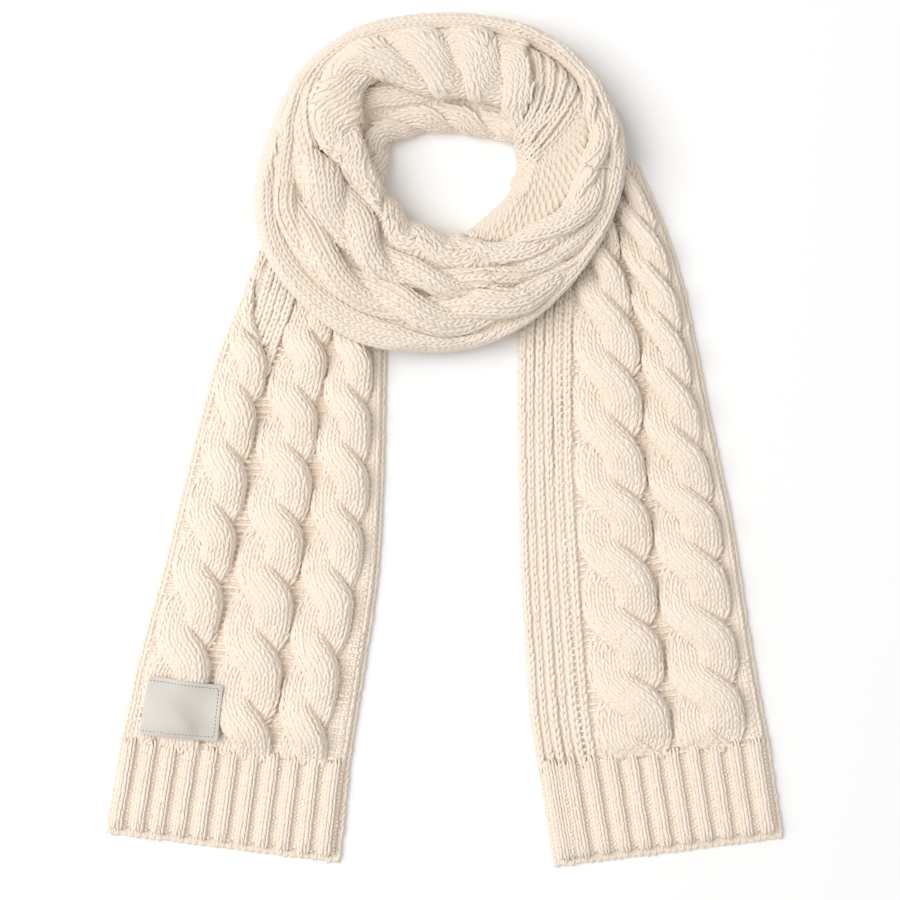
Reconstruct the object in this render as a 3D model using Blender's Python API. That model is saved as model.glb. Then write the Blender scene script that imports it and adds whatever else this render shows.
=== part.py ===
# Knit scarf laid flat: a long cabled strip, folded double along its length and
# wound round the neck opening, with its two ends hanging down side by side.
# Metres, +Z up. The scarf rests on z = 0, its tails point towards -Y.

import bpy
import bmesh
import math
import numpy as np

for leftover in list(bpy.data.objects):
    bpy.data.objects.remove(leftover, do_unlink=True)

# ---------------------------------------------------------------- sizes

SEAM = 0.0003              # gap between neighbouring pieces
KNIT = 0.004               # thickness of the plain knitting
EDGE = 0.0045              # height of a rolled edge above what it lies on
CABLE_RISE = 0.0085        # height of a cable strand above the plain knitting
CABLE_CROSS = 0.0072       # extra rise and fall where the two strands cross
CORD_RISE = 0.0024         # height of the long cords of the plain band
BAND_RIBS, BAND_RIB_RISE = 4, 0.0034      # ribs that show between two cables
EDGE_RISE = 0.0008         # swell of the narrow lanes along the edges
RIB_RISE = 0.0034          # height of a hem rib

# Two strands twisted round each other. Half a cable is 1 across: sideways travel
# of a strand and its half width, how far its travel lags behind its height, how
# much straighter it runs between crossings, how many half turns half a cable is,
# and how full its section is, where 2 is round.
TAIL_ROPE = {"swing": 0.48, "width": 0.51, "lag": 0.45, "straight": 0.10, "pace": 0.53, "full": 3.0}
NECK_ROPE = {"swing": 0.40, "width": 0.62, "lag": 0.0, "straight": 0.0, "pace": 0.25, "full": 2.2}
INNER_ROPE = {"swing": 0.44, "width": 0.53, "lag": 0.35, "straight": 0.06, "pace": 0.66, "full": 2.6}
NEAREST_STEPS = 5          # steps to find the nearest place on a strand

BACK_TOP = KNIT                          # top of the back layer of a tail
FRONT_FLOOR = BACK_TOP + SEAM            # underside of the front layer
FRONT_GROUND = FRONT_FLOOR + KNIT        # plain knitting of the front layer
TAIL_TOP = FRONT_GROUND + CABLE_RISE + CABLE_CROSS

NECK_CENTRE = (0.0005, 0.2288)
NECK_CROWN = 0.044         # height of the folds round the neck
CORE_CROWN = 0.0255        # height of the layers hidden under them
CORE_INSET = 0.0118        # how far the hidden layers stay inside the outline
CORE_STEP = 0.0150         # and clear of the opening, where folds hide them
CORE_EDGE = 0.003          # their height along both edges
CORE_SHOWS = ((26, 0), (40, 1), (176, 1), (200, 0))    # angle, how far they show
CORE_SHARES = (0.0, 0.035, 0.09, 0.15, 0.21, 0.28, 0.40, 0.55, 0.72, 0.85, 0.95, 1.0)
CORE_GROOVE = (0.15, 0.0035)                           # step between two layers: share, depth
TAIL_TUCK = 0.0107         # how far a tail runs in under the neck folds
CLEAR = 0.0008             # air between the neck folds and the hidden layers

# Sections of the neck: angle, radius of the opening, radius of the outline.
NECK_OUTLINE = (
    (0, 0.060, 0.159), (20, 0.071, 0.167), (40, 0.064, 0.167),
    (60, 0.053, 0.162), (80, 0.049, 0.155), (100, 0.050, 0.155),
    (120, 0.054, 0.162), (140, 0.062, 0.166), (160, 0.057, 0.165),
    (180, 0.054, 0.168), (200, 0.050, 0.172), (220, 0.047, 0.167),
    (240, 0.045, 0.162), (260, 0.045, 0.153), (280, 0.047, 0.149),
    (300, 0.046, 0.145), (320, 0.045, 0.144), (340, 0.051, 0.149),
)

# The crease between the inner and the outer turn is one spiral: angle, radius.
TURN_CREASE = (
    (-76, 0.048), (-66, 0.056), (-57, 0.066), (-44, 0.075), (-32, 0.085),
    (-22, 0.097), (-8, 0.111), (2, 0.122), (12, 0.131), (24, 0.141),
    (35, 0.145), (45, 0.145), (57, 0.141), (70, 0.137), (85, 0.134),
    (100, 0.134), (110, 0.137), (124, 0.142), (136, 0.143), (149, 0.135),
    (159, 0.123), (170, 0.105), (184, 0.079), (194, 0.074), (208, 0.071),
    (237, 0.075), (260, 0.074), (280, 0.079), (303, 0.090), (323, 0.107),
    (339, 0.125), (353, 0.139), (365, 0.145),
)

# Inner edge of the inner turn: angle, radius.
INNER_EDGE = (
    (-66, 0.0460), (-44, 0.0450), (-22, 0.0500), (-8, 0.0570), (2, 0.0610),
    (12, 0.0680), (24, 0.0710), (35, 0.0760), (45, 0.0820), (57, 0.0820),
    (73, 0.0770), (87, 0.0765), (100, 0.0780), (108, 0.0870), (116, 0.1020),
    (124, 0.1090), (136, 0.1070), (143, 0.0960), (149, 0.0870), (159, 0.0750),
    (165, 0.0700), (172, 0.0650), (184, 0.0570), (200, 0.0500), (220, 0.0470),
    (240, 0.0450), (260, 0.0450), (284, 0.0480),
)

# Creases of the front folds: angle, radius, depth.
FRONT_CREASE = (
    (165, 0.138, 0.004), (180, 0.132, 0.004), (200, 0.117, 0.004),
    (216, 0.111, 0.005), (238, 0.1035, 0.006), (262, 0.099, 0.009),
    (280, 0.101, 0.012), (299, 0.1035, 0.014), (308, 0.110, 0.014),
    (320, 0.122, 0.012), (328, 0.130, 0.009), (336, 0.137, 0.006),
    (350, 0.146, 0.003), (365, 0.153, 0.002),
)
LOWER_CREASE = (
    (165, 0.151, 0.004), (190, 0.150, 0.004), (200, 0.148, 0.005),
    (216, 0.144, 0.005), (231, 0.136, 0.005), (244, 0.132, 0.006),
    (264, 0.133, 0.007), (285, 0.135, 0.006), (300, 0.136, 0.003),
    (320, 0.137, 0.002), (336, 0.1435, 0.001), (350, 0.151, 0.001),
    (365, 0.158, 0.001),
)

# Height of what the outer edge of the neck lies on: the surface, or a tail.
FOOT = (
    (10, TAIL_TOP), (26, 0.0), (166, 0.0), (181, TAIL_TOP), (252, TAIL_TOP),
    (264, 0.010), (278, 0.010), (290, TAIL_TOP), (370, TAIL_TOP), (386, 0.0),
)

FOOT_REACH = 0.020                # how far in from the outline a fold lies on it
FOOT_CLEAR = 0.0005

# Angle, depth of the turn crease in the front stretch.
TURN_DEPTH = ((165, 0.013), (190, 0.009), (215, 0.005), (250, 0.003), (365, 0.003))
# Angle, how far the outer side of the front stretch sinks, from this share on.
FRONT_SINK = ((165, 0.0), (200, 0.0), (240, 0.006), (300, 0.012), (340, 0.006), (365, 0.0))
SINK_FROM = 0.45
# Creases of the outer turn: angle, place of the first and second, depth, crown.
OUTER_FOLDS = (
    (5, 0.557, 0.810, 0.0020, 0.044), (30, 0.460, 0.740, 0.0022, 0.041),
    (90, 0.420, 0.720, 0.0027, 0.038), (140, 0.440, 0.720, 0.0034, 0.040),
    (165, 0.480, 0.722, 0.0040, 0.044),
)
INNER_CROWN = ((-66, 0.030), (-30, 0.035), (0, 0.040), (40, 0.044), (165, 0.044))

FRONT_SEAM = (165.0, 365.0)       # angles where the front stretch ends
FRONT_INNER = 284.0               # where its inner edge gives way to the turn crease
INNER_TIP = -66.0                 # angle where the inner turn dives under it
SECTION_STEP = 6.0                # angle between sections of the neck
SEAM_RADIUS = 0.15                # where the seam gap between stretches is measured

# Sections of the left tail, from the neck down to the hem: height of the row,
# its slope, then x of the left edge, of both sides of the first cable, of the
# ditches beside the other two and of the right edge. Ribs show between the first
# two cables near the neck.
LEFT_ROWS = (
    (0.198, 0.000, -0.1525, -0.1505, -0.1450, -0.1120, -0.0795, -0.0485, -0.0435),
    (0.162, 0.000, -0.1690, -0.1670, -0.1610, -0.1230, -0.0870, -0.0540, -0.0485),
    (0.136, 0.000, -0.1795, -0.1770, -0.1690, -0.1310, -0.0925, -0.0580, -0.0520),
    (0.108, 0.000, -0.1908, -0.1870, -0.1710, -0.1400, -0.0980, -0.0612, -0.0547),
    (0.081, 0.000, -0.2015, -0.1965, -0.1585, -0.1500, -0.1025, -0.0635, -0.0565),
    (0.060, 0.000, -0.2080, -0.2020, -0.1590, -0.1560, -0.1065, -0.0642, -0.0568),
    (0.018, 0.000, -0.2195, -0.2125, -0.1680, -0.1650, -0.1125, -0.0655, -0.0575),
    (-0.054, 0.000, -0.2375, -0.2300, -0.1790, -0.1760, -0.1195, -0.0685, -0.0595),
    (-0.126, -0.030, -0.2545, -0.2465, -0.1930, -0.1900, -0.1305, -0.0765, -0.0645),
    (-0.198, -0.060, -0.2735, -0.2645, -0.2070, -0.2040, -0.1425, -0.0915, -0.0755),
    (-0.281, -0.108, -0.2905, -0.2810, -0.2190, -0.2160, -0.1555, -0.1065, -0.0895),
)
# The right tail has a band of long smooth cords and two cables.
RIGHT_ROWS = (
    (0.271, -0.500, 0.0685, 0.1045, 0.1365, 0.1665, 0.1725),
    (0.216, -0.500, 0.0685, 0.1095, 0.1505, 0.1915, 0.1975),
    (0.160, -0.420, 0.0685, 0.1155, 0.1615, 0.2075, 0.2135),
    (0.107, -0.330, 0.0675, 0.1155, 0.1735, 0.2165, 0.2235),
    (0.047, -0.200, 0.0665, 0.1145, 0.1775, 0.2265, 0.2335),
    (-0.010, -0.100, 0.0665, 0.1155, 0.1795, 0.2365, 0.2435),
    (-0.064, -0.020, 0.0675, 0.1175, 0.1855, 0.2455, 0.2535),
    (-0.124, 0.020, 0.0695, 0.1215, 0.1895, 0.2545, 0.2625),
    (-0.182, 0.070, 0.0735, 0.1255, 0.1955, 0.2615, 0.2705),
    (-0.244, 0.100, 0.0785, 0.1315, 0.2025, 0.2685, 0.2805),
    (-0.282, 0.110, 0.0845, 0.1375, 0.2075, 0.2725, 0.2875),
)
# Hems: height of the row, its slope, x of the left and right edge.
LEFT_HEM = ((-0.281, -0.108, -0.2905, -0.0895), (-0.359, -0.130, -0.3035, -0.0985))
RIGHT_HEM = ((-0.282, 0.110, 0.0845, 0.2875), (-0.363, 0.128, 0.0985, 0.2995))
HEM_RIBS = 11
BACK_HEM_DROP = 0.007      # the back layer shows this far below the front one
BACK_EDGE_SHOW = 0.004     # and this far beside it, along the open edges
BACK_RIM = 0.0012          # how far the back layer rounds down at its edges
BACK_SHARES = (0.0, 0.02, 0.1, 0.2, 0.3, 0.4, 0.5, 0.6, 0.7, 0.8, 0.9, 0.98, 1.0)

# Crossings of the cables: height of the row, number of the crossing.
LEFT_CROSSINGS = (
    (-0.293, -1), (-0.230, 0), (-0.169, 1), (-0.111, 2), (-0.056, 3),
    (-0.002, 4), (0.050, 5), (0.100, 6), (0.147, 7), (0.198, 8),
)
RIGHT_CROSSINGS = (
    (-0.321, -1), (-0.264, 0), (-0.206, 1), (-0.149, 2), (-0.090, 3), (-0.035, 4),
    (0.023, 5), (0.079, 6), (0.133, 7), (0.180, 8), (0.225, 9), (0.271, 10),
)
# The cords of the plain band, from and to, as shares of its width.
CORDS = ((0.0, 0.15), (0.15, 0.30), (0.30, 0.48), (0.48, 0.64), (0.64, 0.82), (0.82, 1.0))

SHOULDER = 0.03            # share of the width over which a layer rounds down
RIM_LEFT = 0.45            # height left at its very edge, of the plain knitting
HEM_RIM = 0.55             # and along the rim of a hem
HEM_SCALLOP = 0.0016       # how far the rim draws in between the ribs
HEM_FADE = (0.018, 0.30)   # cables sink towards a hem over this reach, to this share

# Cables of the neck, one row a lane: angle and crossings so far (they run the
# other way round from the tails), angle and strength of the relief, its strands.
FRONT_CABLES = (
    (((165, -4.2), (190, -5.0), (230, -6.0), (275, -7.0), (320, -8.0), (365, -9.4)),
     ((165, 0.3), (180, 0.45), (240, 0.45), (280, 0.3), (310, 0.3), (335, 0.5), (365, 0.6)), NECK_ROPE),
    (((165, -0.2), (200, -1.0), (242, -2.0), (285, -3.0), (330, -4.0), (365, -5.0)),
     ((165, 0.0), (176, 0.8), (300, 0.7), (320, 0.2), (340, 0.0), (365, 0.0)), NECK_ROPE),
    (((165, 0.3), (181, -0.5), (219, -1.5), (257, -2.5), (294, -3.5), (330, -4.5), (365, -5.5)),
     ((165, 0.0), (178, 0.0), (190, 0.8), (305, 0.8), (325, 0.3), (345, 0.0), (365, 0.0)), NECK_ROPE),
    (((165, 0.0), (365, 0.0)), ((165, 0.0), (365, 0.0)), NECK_ROPE),
)
OUTER_CABLES = (
    (((5, -9.4), (22, -10.2), (40, -11.1), (165, -17.0)),
     ((5, 0.6), (25, 0.6), (40, 0.0), (165, 0.0)), NECK_ROPE),
    (((5, 0.3), (20, -0.7), (36, -1.7), (52, -2.7), (165, -9.0)),
     ((5, 0.0), (12, 0.5), (60, 0.5), (75, 0.0), (165, 0.0)), NECK_ROPE),
    (((5, 0.0), (165, 0.0)), ((5, 0.0), (165, 0.0)), NECK_ROPE),
)
INNER_CABLES = (
    (((-66, 5.5), (54, 0.5), (76, -0.5), (98, -1.5), (122, -2.5), (146, -3.45), (165, -4.2)),
     ((-66, 0.0), (50, 0.0), (66, 0.5), (90, 0.6), (145, 0.6), (165, 0.3)), INNER_ROPE),
)
FULL_LANE = 0.024          # a lane narrower than this has lower strands
LANE_EDGE = 0.012          # strands sink over this far at the edges of the strip
CREASE_REACH = 0.0042      # how far a crease pulls down the knitting beside it
STEEPEST = 2.2             # on a slope the knitting measures more straight down
THINNEST = 0.0015
MARGIN_TURN, MARGIN_OUT = 2.0, 0.002       # folds also clear the layers this far around
# A fold rounds up from its inner and outer edge: share of its height, and the
# least and greatest reach.
ROUND_IN, ROUND_OUT = (0.5, 0.007, 0.020), (0.6, 0.007, 0.026)
ROUND_MOST = 0.48          # and no more than this share of the strip

LABEL_CORNERS = ((-0.2725, -0.2625), (-0.2025, -0.2690), (-0.1975, -0.2190), (-0.2640, -0.2100))
LABEL_THICK = 0.0012
LABEL_CORNER = 0.0020      # radius of its corners

SHARP = math.radians(40)   # creases sharper than this stay crisp

CREAM = (0.86, 0.76, 0.63)
SHADE_CREAM = (0.78, 0.67, 0.54)
LABEL_GREY = (0.70, 0.66, 0.60)


# ---------------------------------------------------------------- helpers

def curve(table, x, column=1):
    # Smooth curve through one column of a table, as a cubic Hermite spline.
    xs = np.array([row[0] for row in table], dtype=float)
    ys = np.array([row[column] for row in table], dtype=float)
    if xs[0] > xs[-1]:
        xs, ys = xs[::-1], ys[::-1]
    slope = np.gradient(ys, xs)
    x = np.clip(x, xs[0], xs[-1])
    i = np.clip(np.searchsorted(xs, x) - 1, 0, len(xs) - 2)
    step = xs[i + 1] - xs[i]
    t = (x - xs[i]) / step
    bend_a = (1 + 2 * t) * (1 - t) ** 2 * ys[i] + t * (1 - t) ** 2 * step * slope[i]
    bend_b = t * t * (3 - 2 * t) * ys[i + 1] - t * t * (1 - t) * step * slope[i + 1]
    return bend_a + bend_b


def level(table, x, column=1):
    # Straight steps through one column of a table.
    return float(np.interp(x, [row[0] for row in table], [row[column] for row in table]))


def round_table(table, column):
    # The same table with its ends repeated, for curves that close on themselves.
    rows = [(row[0], row[column]) for row in table]
    before = [(angle - 360, value) for angle, value in rows[-2:]]
    after = [(angle + 360, value) for angle, value in rows[:2]]
    return before + rows + after


HOLE = round_table(NECK_OUTLINE, 1)
OUTLINE = round_table(NECK_OUTLINE, 2)


def hole_radius(angle):
    return curve(HOLE, angle % 360)


def outline_radius(angle):
    return curve(OUTLINE, angle % 360)


def foot_height(angle):
    table = np.array(FOOT)
    lifted = angle % 360 + (360 if angle % 360 < table[0][0] else 0)
    return float(np.interp(lifted, table[:, 0], table[:, 1]))


def neck_point(angle, radius, z):
    turn = math.radians(angle)
    x = NECK_CENTRE[0] + radius * math.cos(turn)
    y = NECK_CENTRE[1] + radius * math.sin(turn)
    return (x, y, z)


def rounded(distance, reach):
    # Height of a quarter ellipse, 0 at an edge and 1 from reach inwards.
    return math.sqrt(1 - (1 - min(1, max(0, distance) / reach)) ** 2)


def strand(cable, turn, side):
    # Centre of one strand and its slope, over the plain knitting.
    swing, place = side * cable["swing"], turn - cable["lag"]
    centre = swing * (math.cos(place) - cable["straight"] * math.cos(3 * place))
    slope = swing * (3 * cable["straight"] * math.sin(3 * place) - math.sin(place))
    return centre, slope * math.pi * cable["pace"]


def rope(cable, across, crossings):
    # Height of two strands twisted round each other, over the plain knitting.
    # Across runs from -1 to 1 over the cable, crossings counts half turns.
    highest = 0.0
    for side in (1, -1):
        near = crossings
        for step in range(NEAREST_STEPS):
            centre, slope = strand(cable, math.pi * near, side)
            away = cable["pace"] * (across - centre) * slope + crossings - near
            near += away / (1 + slope * slope)
        centre, slope = strand(cable, math.pi * near, side)
        offset = math.hypot(across - centre, (crossings - near) / cable["pace"]) / cable["width"]
        if offset < 1:
            body = (1 - offset ** cable["full"]) ** (1 / cable["full"])
            highest = max(highest, (CABLE_RISE + side * math.sin(math.pi * near) * CABLE_CROSS) * body)
    return highest


def material(name, colour, roughness):
    made = bpy.data.materials.new(name)
    made.use_nodes = True
    shader = made.node_tree.nodes["Principled BSDF"]
    shader.inputs["Base Color"].default_value = (*colour, 1)
    shader.inputs["Roughness"].default_value = roughness
    shader.inputs["Metallic"].default_value = 0
    return made


def finish(name, bm, colour, roughness=0.95):
    # Turns a closed mesh into a named object with its own material.
    bmesh.ops.recalc_face_normals(bm, faces=bm.faces)
    mesh = bpy.data.meshes.new(name)
    bm.to_mesh(mesh)
    bm.free()
    piece = bpy.data.objects.new(name, mesh)
    bpy.context.scene.collection.objects.link(piece)
    mesh.materials.append(material(name, colour, roughness))
    for face in mesh.polygons:
        face.use_smooth = True
    mesh.set_sharp_from_angle(angle=SHARP)
    return piece


def slab(name, top, bottom, colour):
    # Closed solid between a grid of top points and a coarser grid of bottom
    # points. Both hold the same rows, from left to right. The top is split along
    # the lean of the cables.
    bm = bmesh.new()
    upper = [[bm.verts.new(point) for point in row] for row in top]
    lower = [[bm.verts.new(point) for point in row] for row in bottom]
    stride = (len(top[0]) - 1) // (len(bottom[0]) - 1)
    rows = len(top) - 1
    for j in range(rows):
        for i in range(len(top[0]) - 1):
            bm.faces.new((upper[j][i], upper[j][i + 1], upper[j + 1][i]))
            bm.faces.new((upper[j][i + 1], upper[j + 1][i + 1], upper[j + 1][i]))
        for i in range(len(bottom[0]) - 1):
            bm.faces.new((lower[j][i], lower[j + 1][i], lower[j + 1][i + 1], lower[j][i + 1]))
        for side in (0, -1):
            bm.faces.new((upper[j][side], upper[j + 1][side], lower[j + 1][side], lower[j][side]))
    for j in (0, rows):
        for i in range(len(bottom[0]) - 1):
            arch = upper[j][i * stride:(i + 1) * stride + 1]
            bm.faces.new(arch + [lower[j][i + 1], lower[j][i]])
    return finish(name, bm, colour)


# ---------------------------------------------------------------- tails

def lane_columns(lanes):
    # Where the columns of points lie: lane number and place in it, 0 to 1.
    places = [(0, 0.0)]
    for number, (kind, count) in enumerate(lanes):
        if kind == "cords":
            for start, end in CORDS:
                places += [(number, (start + end) / 2), (number, end)]
        else:
            places += [(number, (i + 1) / count) for i in range(count)]
    return places


def tail_place(rows, place, height):
    # Plan position of a column of points in the row at the given height, and the
    # width of its lane there.
    number, share = place
    edges = [float(curve(rows, height, column)) for column in range(2, len(rows[0]))]
    width = edges[number + 1] - edges[number]
    x = edges[number] + share * width
    middle = (edges[0] + edges[-1]) / 2
    return x, height + float(curve(rows, height, 1)) * (x - middle), width


def tail_end(place_at, low, high):
    # Highest row that a column reaches before it is TAIL_TUCK under the neck.
    outside, inside = low, high
    for step in range(60):
        test = low + (high - low) * (step + 1) / 60
        if neck_depth(*place_at(test)) > TAIL_TUCK:
            inside = test
            break
        outside = test
    for step in range(14):
        test = (inside + outside) / 2
        if neck_depth(*place_at(test)) > TAIL_TUCK:
            inside = test
        else:
            outside = test
    return outside


def neck_depth(x, y):
    # How far a point lies inside the outline of the neck folds.
    dx, dy = x - NECK_CENTRE[0], y - NECK_CENTRE[1]
    return float(outline_radius(math.degrees(math.atan2(dy, dx)))) - math.hypot(dx, dy)


def lane_relief(kind, share, width, crossings):
    if kind == "cable":
        return min(1, width / FULL_LANE) * rope(TAIL_ROPE, 2 * share - 1, crossings)
    if kind == "cords":
        for start, end in CORDS:
            if start < share < end:
                return CORD_RISE * math.sin(math.pi * (share - start) / (end - start))
        return 0.0
    if kind == "ribs":
        room = min(1, max(0, width - BAND_RIB_RISE) / BAND_RIB_RISE)
        return room * BAND_RIB_RISE * abs(math.sin(math.pi * BAND_RIBS * share))
    return EDGE_RISE * math.sin(math.pi * share)


def layer_ground(share):
    # Height of the plain knitting of a front layer, and how far it has rounded up.
    shoulder = rounded(min(share, 1 - share), SHOULDER)
    return KNIT * (RIM_LEFT + (1 - RIM_LEFT) * shoulder), shoulder


def fade_to_hem(away):
    # How much of the relief is left this far above a hem, as it runs into the ribs.
    reach, least = HEM_FADE
    return least + (1 - least) * rounded(away, reach)


def tail_front(name, rows, lanes, crossings, count, step_down):
    low = rows[-1][0] + SEAM / 2
    top, bottom = [], []
    places = lane_columns(lanes)
    ends = [tail_end(lambda height: tail_place(rows, place, height)[:2], low, rows[0][0])
            for place in places]
    for j in range(count + 1):
        upper, lower = [], []
        for i, place in enumerate(places):
            height = low + (ends[i] - low) * j / count
            x, y, width = tail_place(rows, place, height)
            ground, shoulder = layer_ground(i / (len(places) - 1))
            twisted = float(curve(crossings, height))
            relief = lane_relief(lanes[place[0]][0], place[1], width, twisted) * fade_to_hem(height - low)
            upper.append((x, y, FRONT_FLOOR + ground + relief * shoulder))
            if i % step_down == 0:
                lower.append((x, y, FRONT_FLOOR))
        top.append(upper)
        bottom.append(lower)
    return slab(name, top, bottom, CREAM)


def tail_back(name, rows, count):
    low = rows[-1][0]
    top, bottom = [], []
    ends = [tail_end(lambda height: back_place(rows, share, height), low, rows[0][0])
            for share in BACK_SHARES]
    for j in range(count + 1):
        upper, lower = [], []
        for share, end in zip(BACK_SHARES, ends):
            height = low + SEAM / 2 + (end - low - SEAM / 2) * j / count
            x, y = back_place(rows, share, height)
            rim = BACK_RIM if share in (0.0, 1.0) else 0.0
            upper.append((x, y, BACK_TOP - rim))
            lower.append((x, y, 0.0))
        top.append(upper)
        bottom.append(lower)
    return slab(name, top, bottom, SHADE_CREAM)


def back_place(rows, share, height):
    last = len(rows[0]) - 4
    left, y_left, lane = tail_place(rows, (0, 0.0), height)
    right, y_right, lane = tail_place(rows, (last, 1.0), height)
    right += BACK_EDGE_SHOW
    return left + share * (right - left), y_left + share * (y_right - y_left)


# ---------------------------------------------------------------- hems

def rib_crest(share, joined):
    # Height of the ribs, from 0 to 1. Beside a folded edge the first two are joined.
    count = share * HEM_RIBS
    return 1.0 if joined and 0.5 < count < 1.5 else math.sin(math.pi * count) ** 2


def hem_front(name, rows, joined):
    # Ribs run to the rim and round over it, so the rim is scalloped.
    per_rib = 4
    columns = HEM_RIBS * per_rib
    levels = (0.0, 0.5, 0.93, 1.0)
    top, bottom = [], []
    for level in levels:
        upper, lower = [], []
        for i in range(columns + 1):
            share = i / columns
            crest = rib_crest(share, joined)
            at_rim = level == levels[-1]
            x, y = hem_place(rows, share, level, HEM_SCALLOP * (1 - crest) if at_rim else 0.0)
            ground, shoulder = layer_ground(share)
            rim = HEM_RIM if at_rim else 1.0
            upper.append((x, y, FRONT_FLOOR + (ground + RIB_RISE * crest * shoulder) * rim))
            if i % per_rib == 0:
                lower.append((x, y, FRONT_FLOOR))
        top.append(upper)
        bottom.append(lower)
    return slab(name, top, bottom, CREAM)


def hem_back(name, rows):
    levels = (0.0, 0.5, 0.97, 1.0)
    top, bottom = [], []
    for level in levels:
        upper, lower = [], []
        for share in BACK_SHARES:
            x, y = hem_place(rows, share, level, -BACK_HEM_DROP * level)
            x += BACK_EDGE_SHOW * share
            rim = BACK_RIM if share in (0.0, 1.0) or level == 1.0 else 0.0
            upper.append((x, y, BACK_TOP - rim))
            lower.append((x, y, 0.0))
        top.append(upper)
        bottom.append(lower)
    return slab(name, top, bottom, SHADE_CREAM)


def hem_place(rows, share, level, drop):
    (y_top, slope_top, left_top, right_top), (y_low, slope_low, left_low, right_low) = rows
    left = left_top + (left_low - left_top) * level
    right = right_top + (right_low - right_top) * level
    x = left + share * (right - left)
    slope = slope_top + (slope_low - slope_top) * level
    start = y_top - SEAM / 2
    y = start + (y_low - start) * level + slope * (x - (left + right) / 2)
    return x, y + drop


# ---------------------------------------------------------------- neck

def core_reach(angle):
    return float(hole_radius(angle)) + core_step(angle), float(outline_radius(angle)) - CORE_INSET


def core_step(angle):
    # The hidden layers show round the back of the opening, and stay under the
    # folds round its front.
    return CORE_STEP * (1 - level(CORE_SHOWS, angle % 360))


def core_top(angle, radius):
    inner, outer = core_reach(angle)
    share = (radius - inner) / (outer - inner)
    if share <= 0 or share >= 1:
        return 0.0
    arch = (1 - abs(2 * share - 1) ** 3.0) ** 0.5
    return CORE_EDGE + (CORE_CROWN - CORE_EDGE) * arch


def floor_height(angle, radius):
    # What a neck fold lies on: a hidden layer, a tail, or the surface.
    foot = foot_height(angle)
    near = float(outline_radius(angle)) - radius < FOOT_REACH
    lowest = foot + FOOT_CLEAR if near and foot > 0 else 0.0
    under = max(core_top(angle + side * MARGIN_TURN, radius + out * MARGIN_OUT)
                for side in (-1, 0, 1) for out in (-1, 0, 1))
    return max(lowest, under + CLEAR if under > 0 else 0.0)


def neck_stretch(name, angles, lines, folds, crown, creases, cables):
    # One stretch of the wound strip. Lines gives the radii of its edges and of
    # the creases between its folds, folds the columns of points in each fold.
    top, bottom = [], []
    for angle in angles:
        radii = lines(angle)
        depths = creases(angle)
        places = []
        for number, count in enumerate(folds):
            width = radii[number + 1] - radii[number]
            steps = range(0 if number == 0 else 1, count + 1)
            places += [(number, i / count, radii[number] + width * i / count) for i in steps]
        plain = [fold_height(angle, r, radii, depths, crown) for n, share, r in places]
        upper, lower = [], []
        for i, (number, share, radius) in enumerate(places):
            before, after = max(0, i - 1), min(len(places) - 1, i + 1)
            run = places[after][2] - places[before][2]
            steep = min(STEEPEST, math.hypot(1, (plain[after] - plain[before]) / run))
            under = max(floor_height(angle, radius), plain[i] - KNIT * steep)
            under = min(under, plain[i] - THINNEST)
            width = radii[number + 1] - radii[number]
            turns, strengths, cable = cables[number]
            twisted = float(curve(turns, angle))
            swell = level(strengths, angle) * min(1, width / FULL_LANE)
            swell *= rounded(min(radius - radii[0], radii[-1] - radius), LANE_EDGE)
            relief = swell * rope(cable, 2 * share - 1, twisted)
            upper.append(neck_point(angle, radius, plain[i] + relief))
            lower.append(neck_point(angle, radius, under))
        top.append(upper)
        bottom.append(lower)
    return slab(name, top, bottom, CREAM)


def fold_height(angle, radius, radii, depths, crown):
    # Height of the plain knitting: a rounded strip with creases between folds.
    lowest = floor_height(angle, radius)
    edge = lowest + EDGE
    full = crown(angle, (radius - radii[0]) / (radii[-1] - radii[0]))
    arch = 1.0
    for (part, least, most), away in ((ROUND_IN, radius - radii[0]), (ROUND_OUT, radii[-1] - radius)):
        reach = min(most, max(least, part * (full - edge)), ROUND_MOST * (radii[-1] - radii[0]))
        arch *= rounded(away, reach)
    height = edge + (full - edge) * arch
    for line, depth in zip(radii[1:-1], depths):
        height -= depth * math.exp(-abs(radius - line) / CREASE_REACH)
    return max(height, edge)


def turn_angles(start, end):
    # Angles of the sections. They fall on the same rays in every stretch, so
    # that neighbours keep their gap all along a crease.
    first = math.floor(start / SECTION_STEP) + 1
    last = math.ceil(end / SECTION_STEP) - 1
    return [start] + [SECTION_STEP * i for i in range(first, last + 1)] + [end]


def seam_turn(radius):
    # Half the seam gap, as an angle at the given radius.
    return math.degrees(SEAM / 2 / radius)


def front_lines(angle):
    if angle > FRONT_INNER:
        inner = float(curve(TURN_CREASE, angle - 360)) + SEAM / 2
    else:
        inner = float(curve(INNER_EDGE, angle))
    turn = float(curve(TURN_CREASE, angle))
    fold = float(curve(FRONT_CREASE, angle))
    lower = float(curve(LOWER_CREASE, angle))
    return [inner, turn, fold, lower, float(outline_radius(angle))]


def front_depths(angle):
    creases = [float(curve(table, angle, 2)) for table in (FRONT_CREASE, LOWER_CREASE)]
    return [level(TURN_DEPTH, angle)] + creases


def front_crown(angle, share):
    return NECK_CROWN - level(FRONT_SINK, angle) * max(0.0, share - SINK_FROM) / (1 - SINK_FROM)


def outer_lines(angle):
    inner = float(curve(TURN_CREASE, angle)) + SEAM / 2
    outer = float(outline_radius(angle))
    first, second = level(OUTER_FOLDS, angle), level(OUTER_FOLDS, angle, 2)
    return [inner, inner + first * (outer - inner), inner + second * (outer - inner), outer]


def outer_depths(angle):
    depth = level(OUTER_FOLDS, angle, 3)
    return [depth, depth]


def outer_crown(angle, share):
    return level(OUTER_FOLDS, angle, 4)


def inner_lines(angle):
    inner = float(curve(INNER_EDGE, angle))
    outer = float(curve(TURN_CREASE, angle)) - SEAM / 2
    return [inner, outer]


def inner_depths(angle):
    return []


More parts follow.
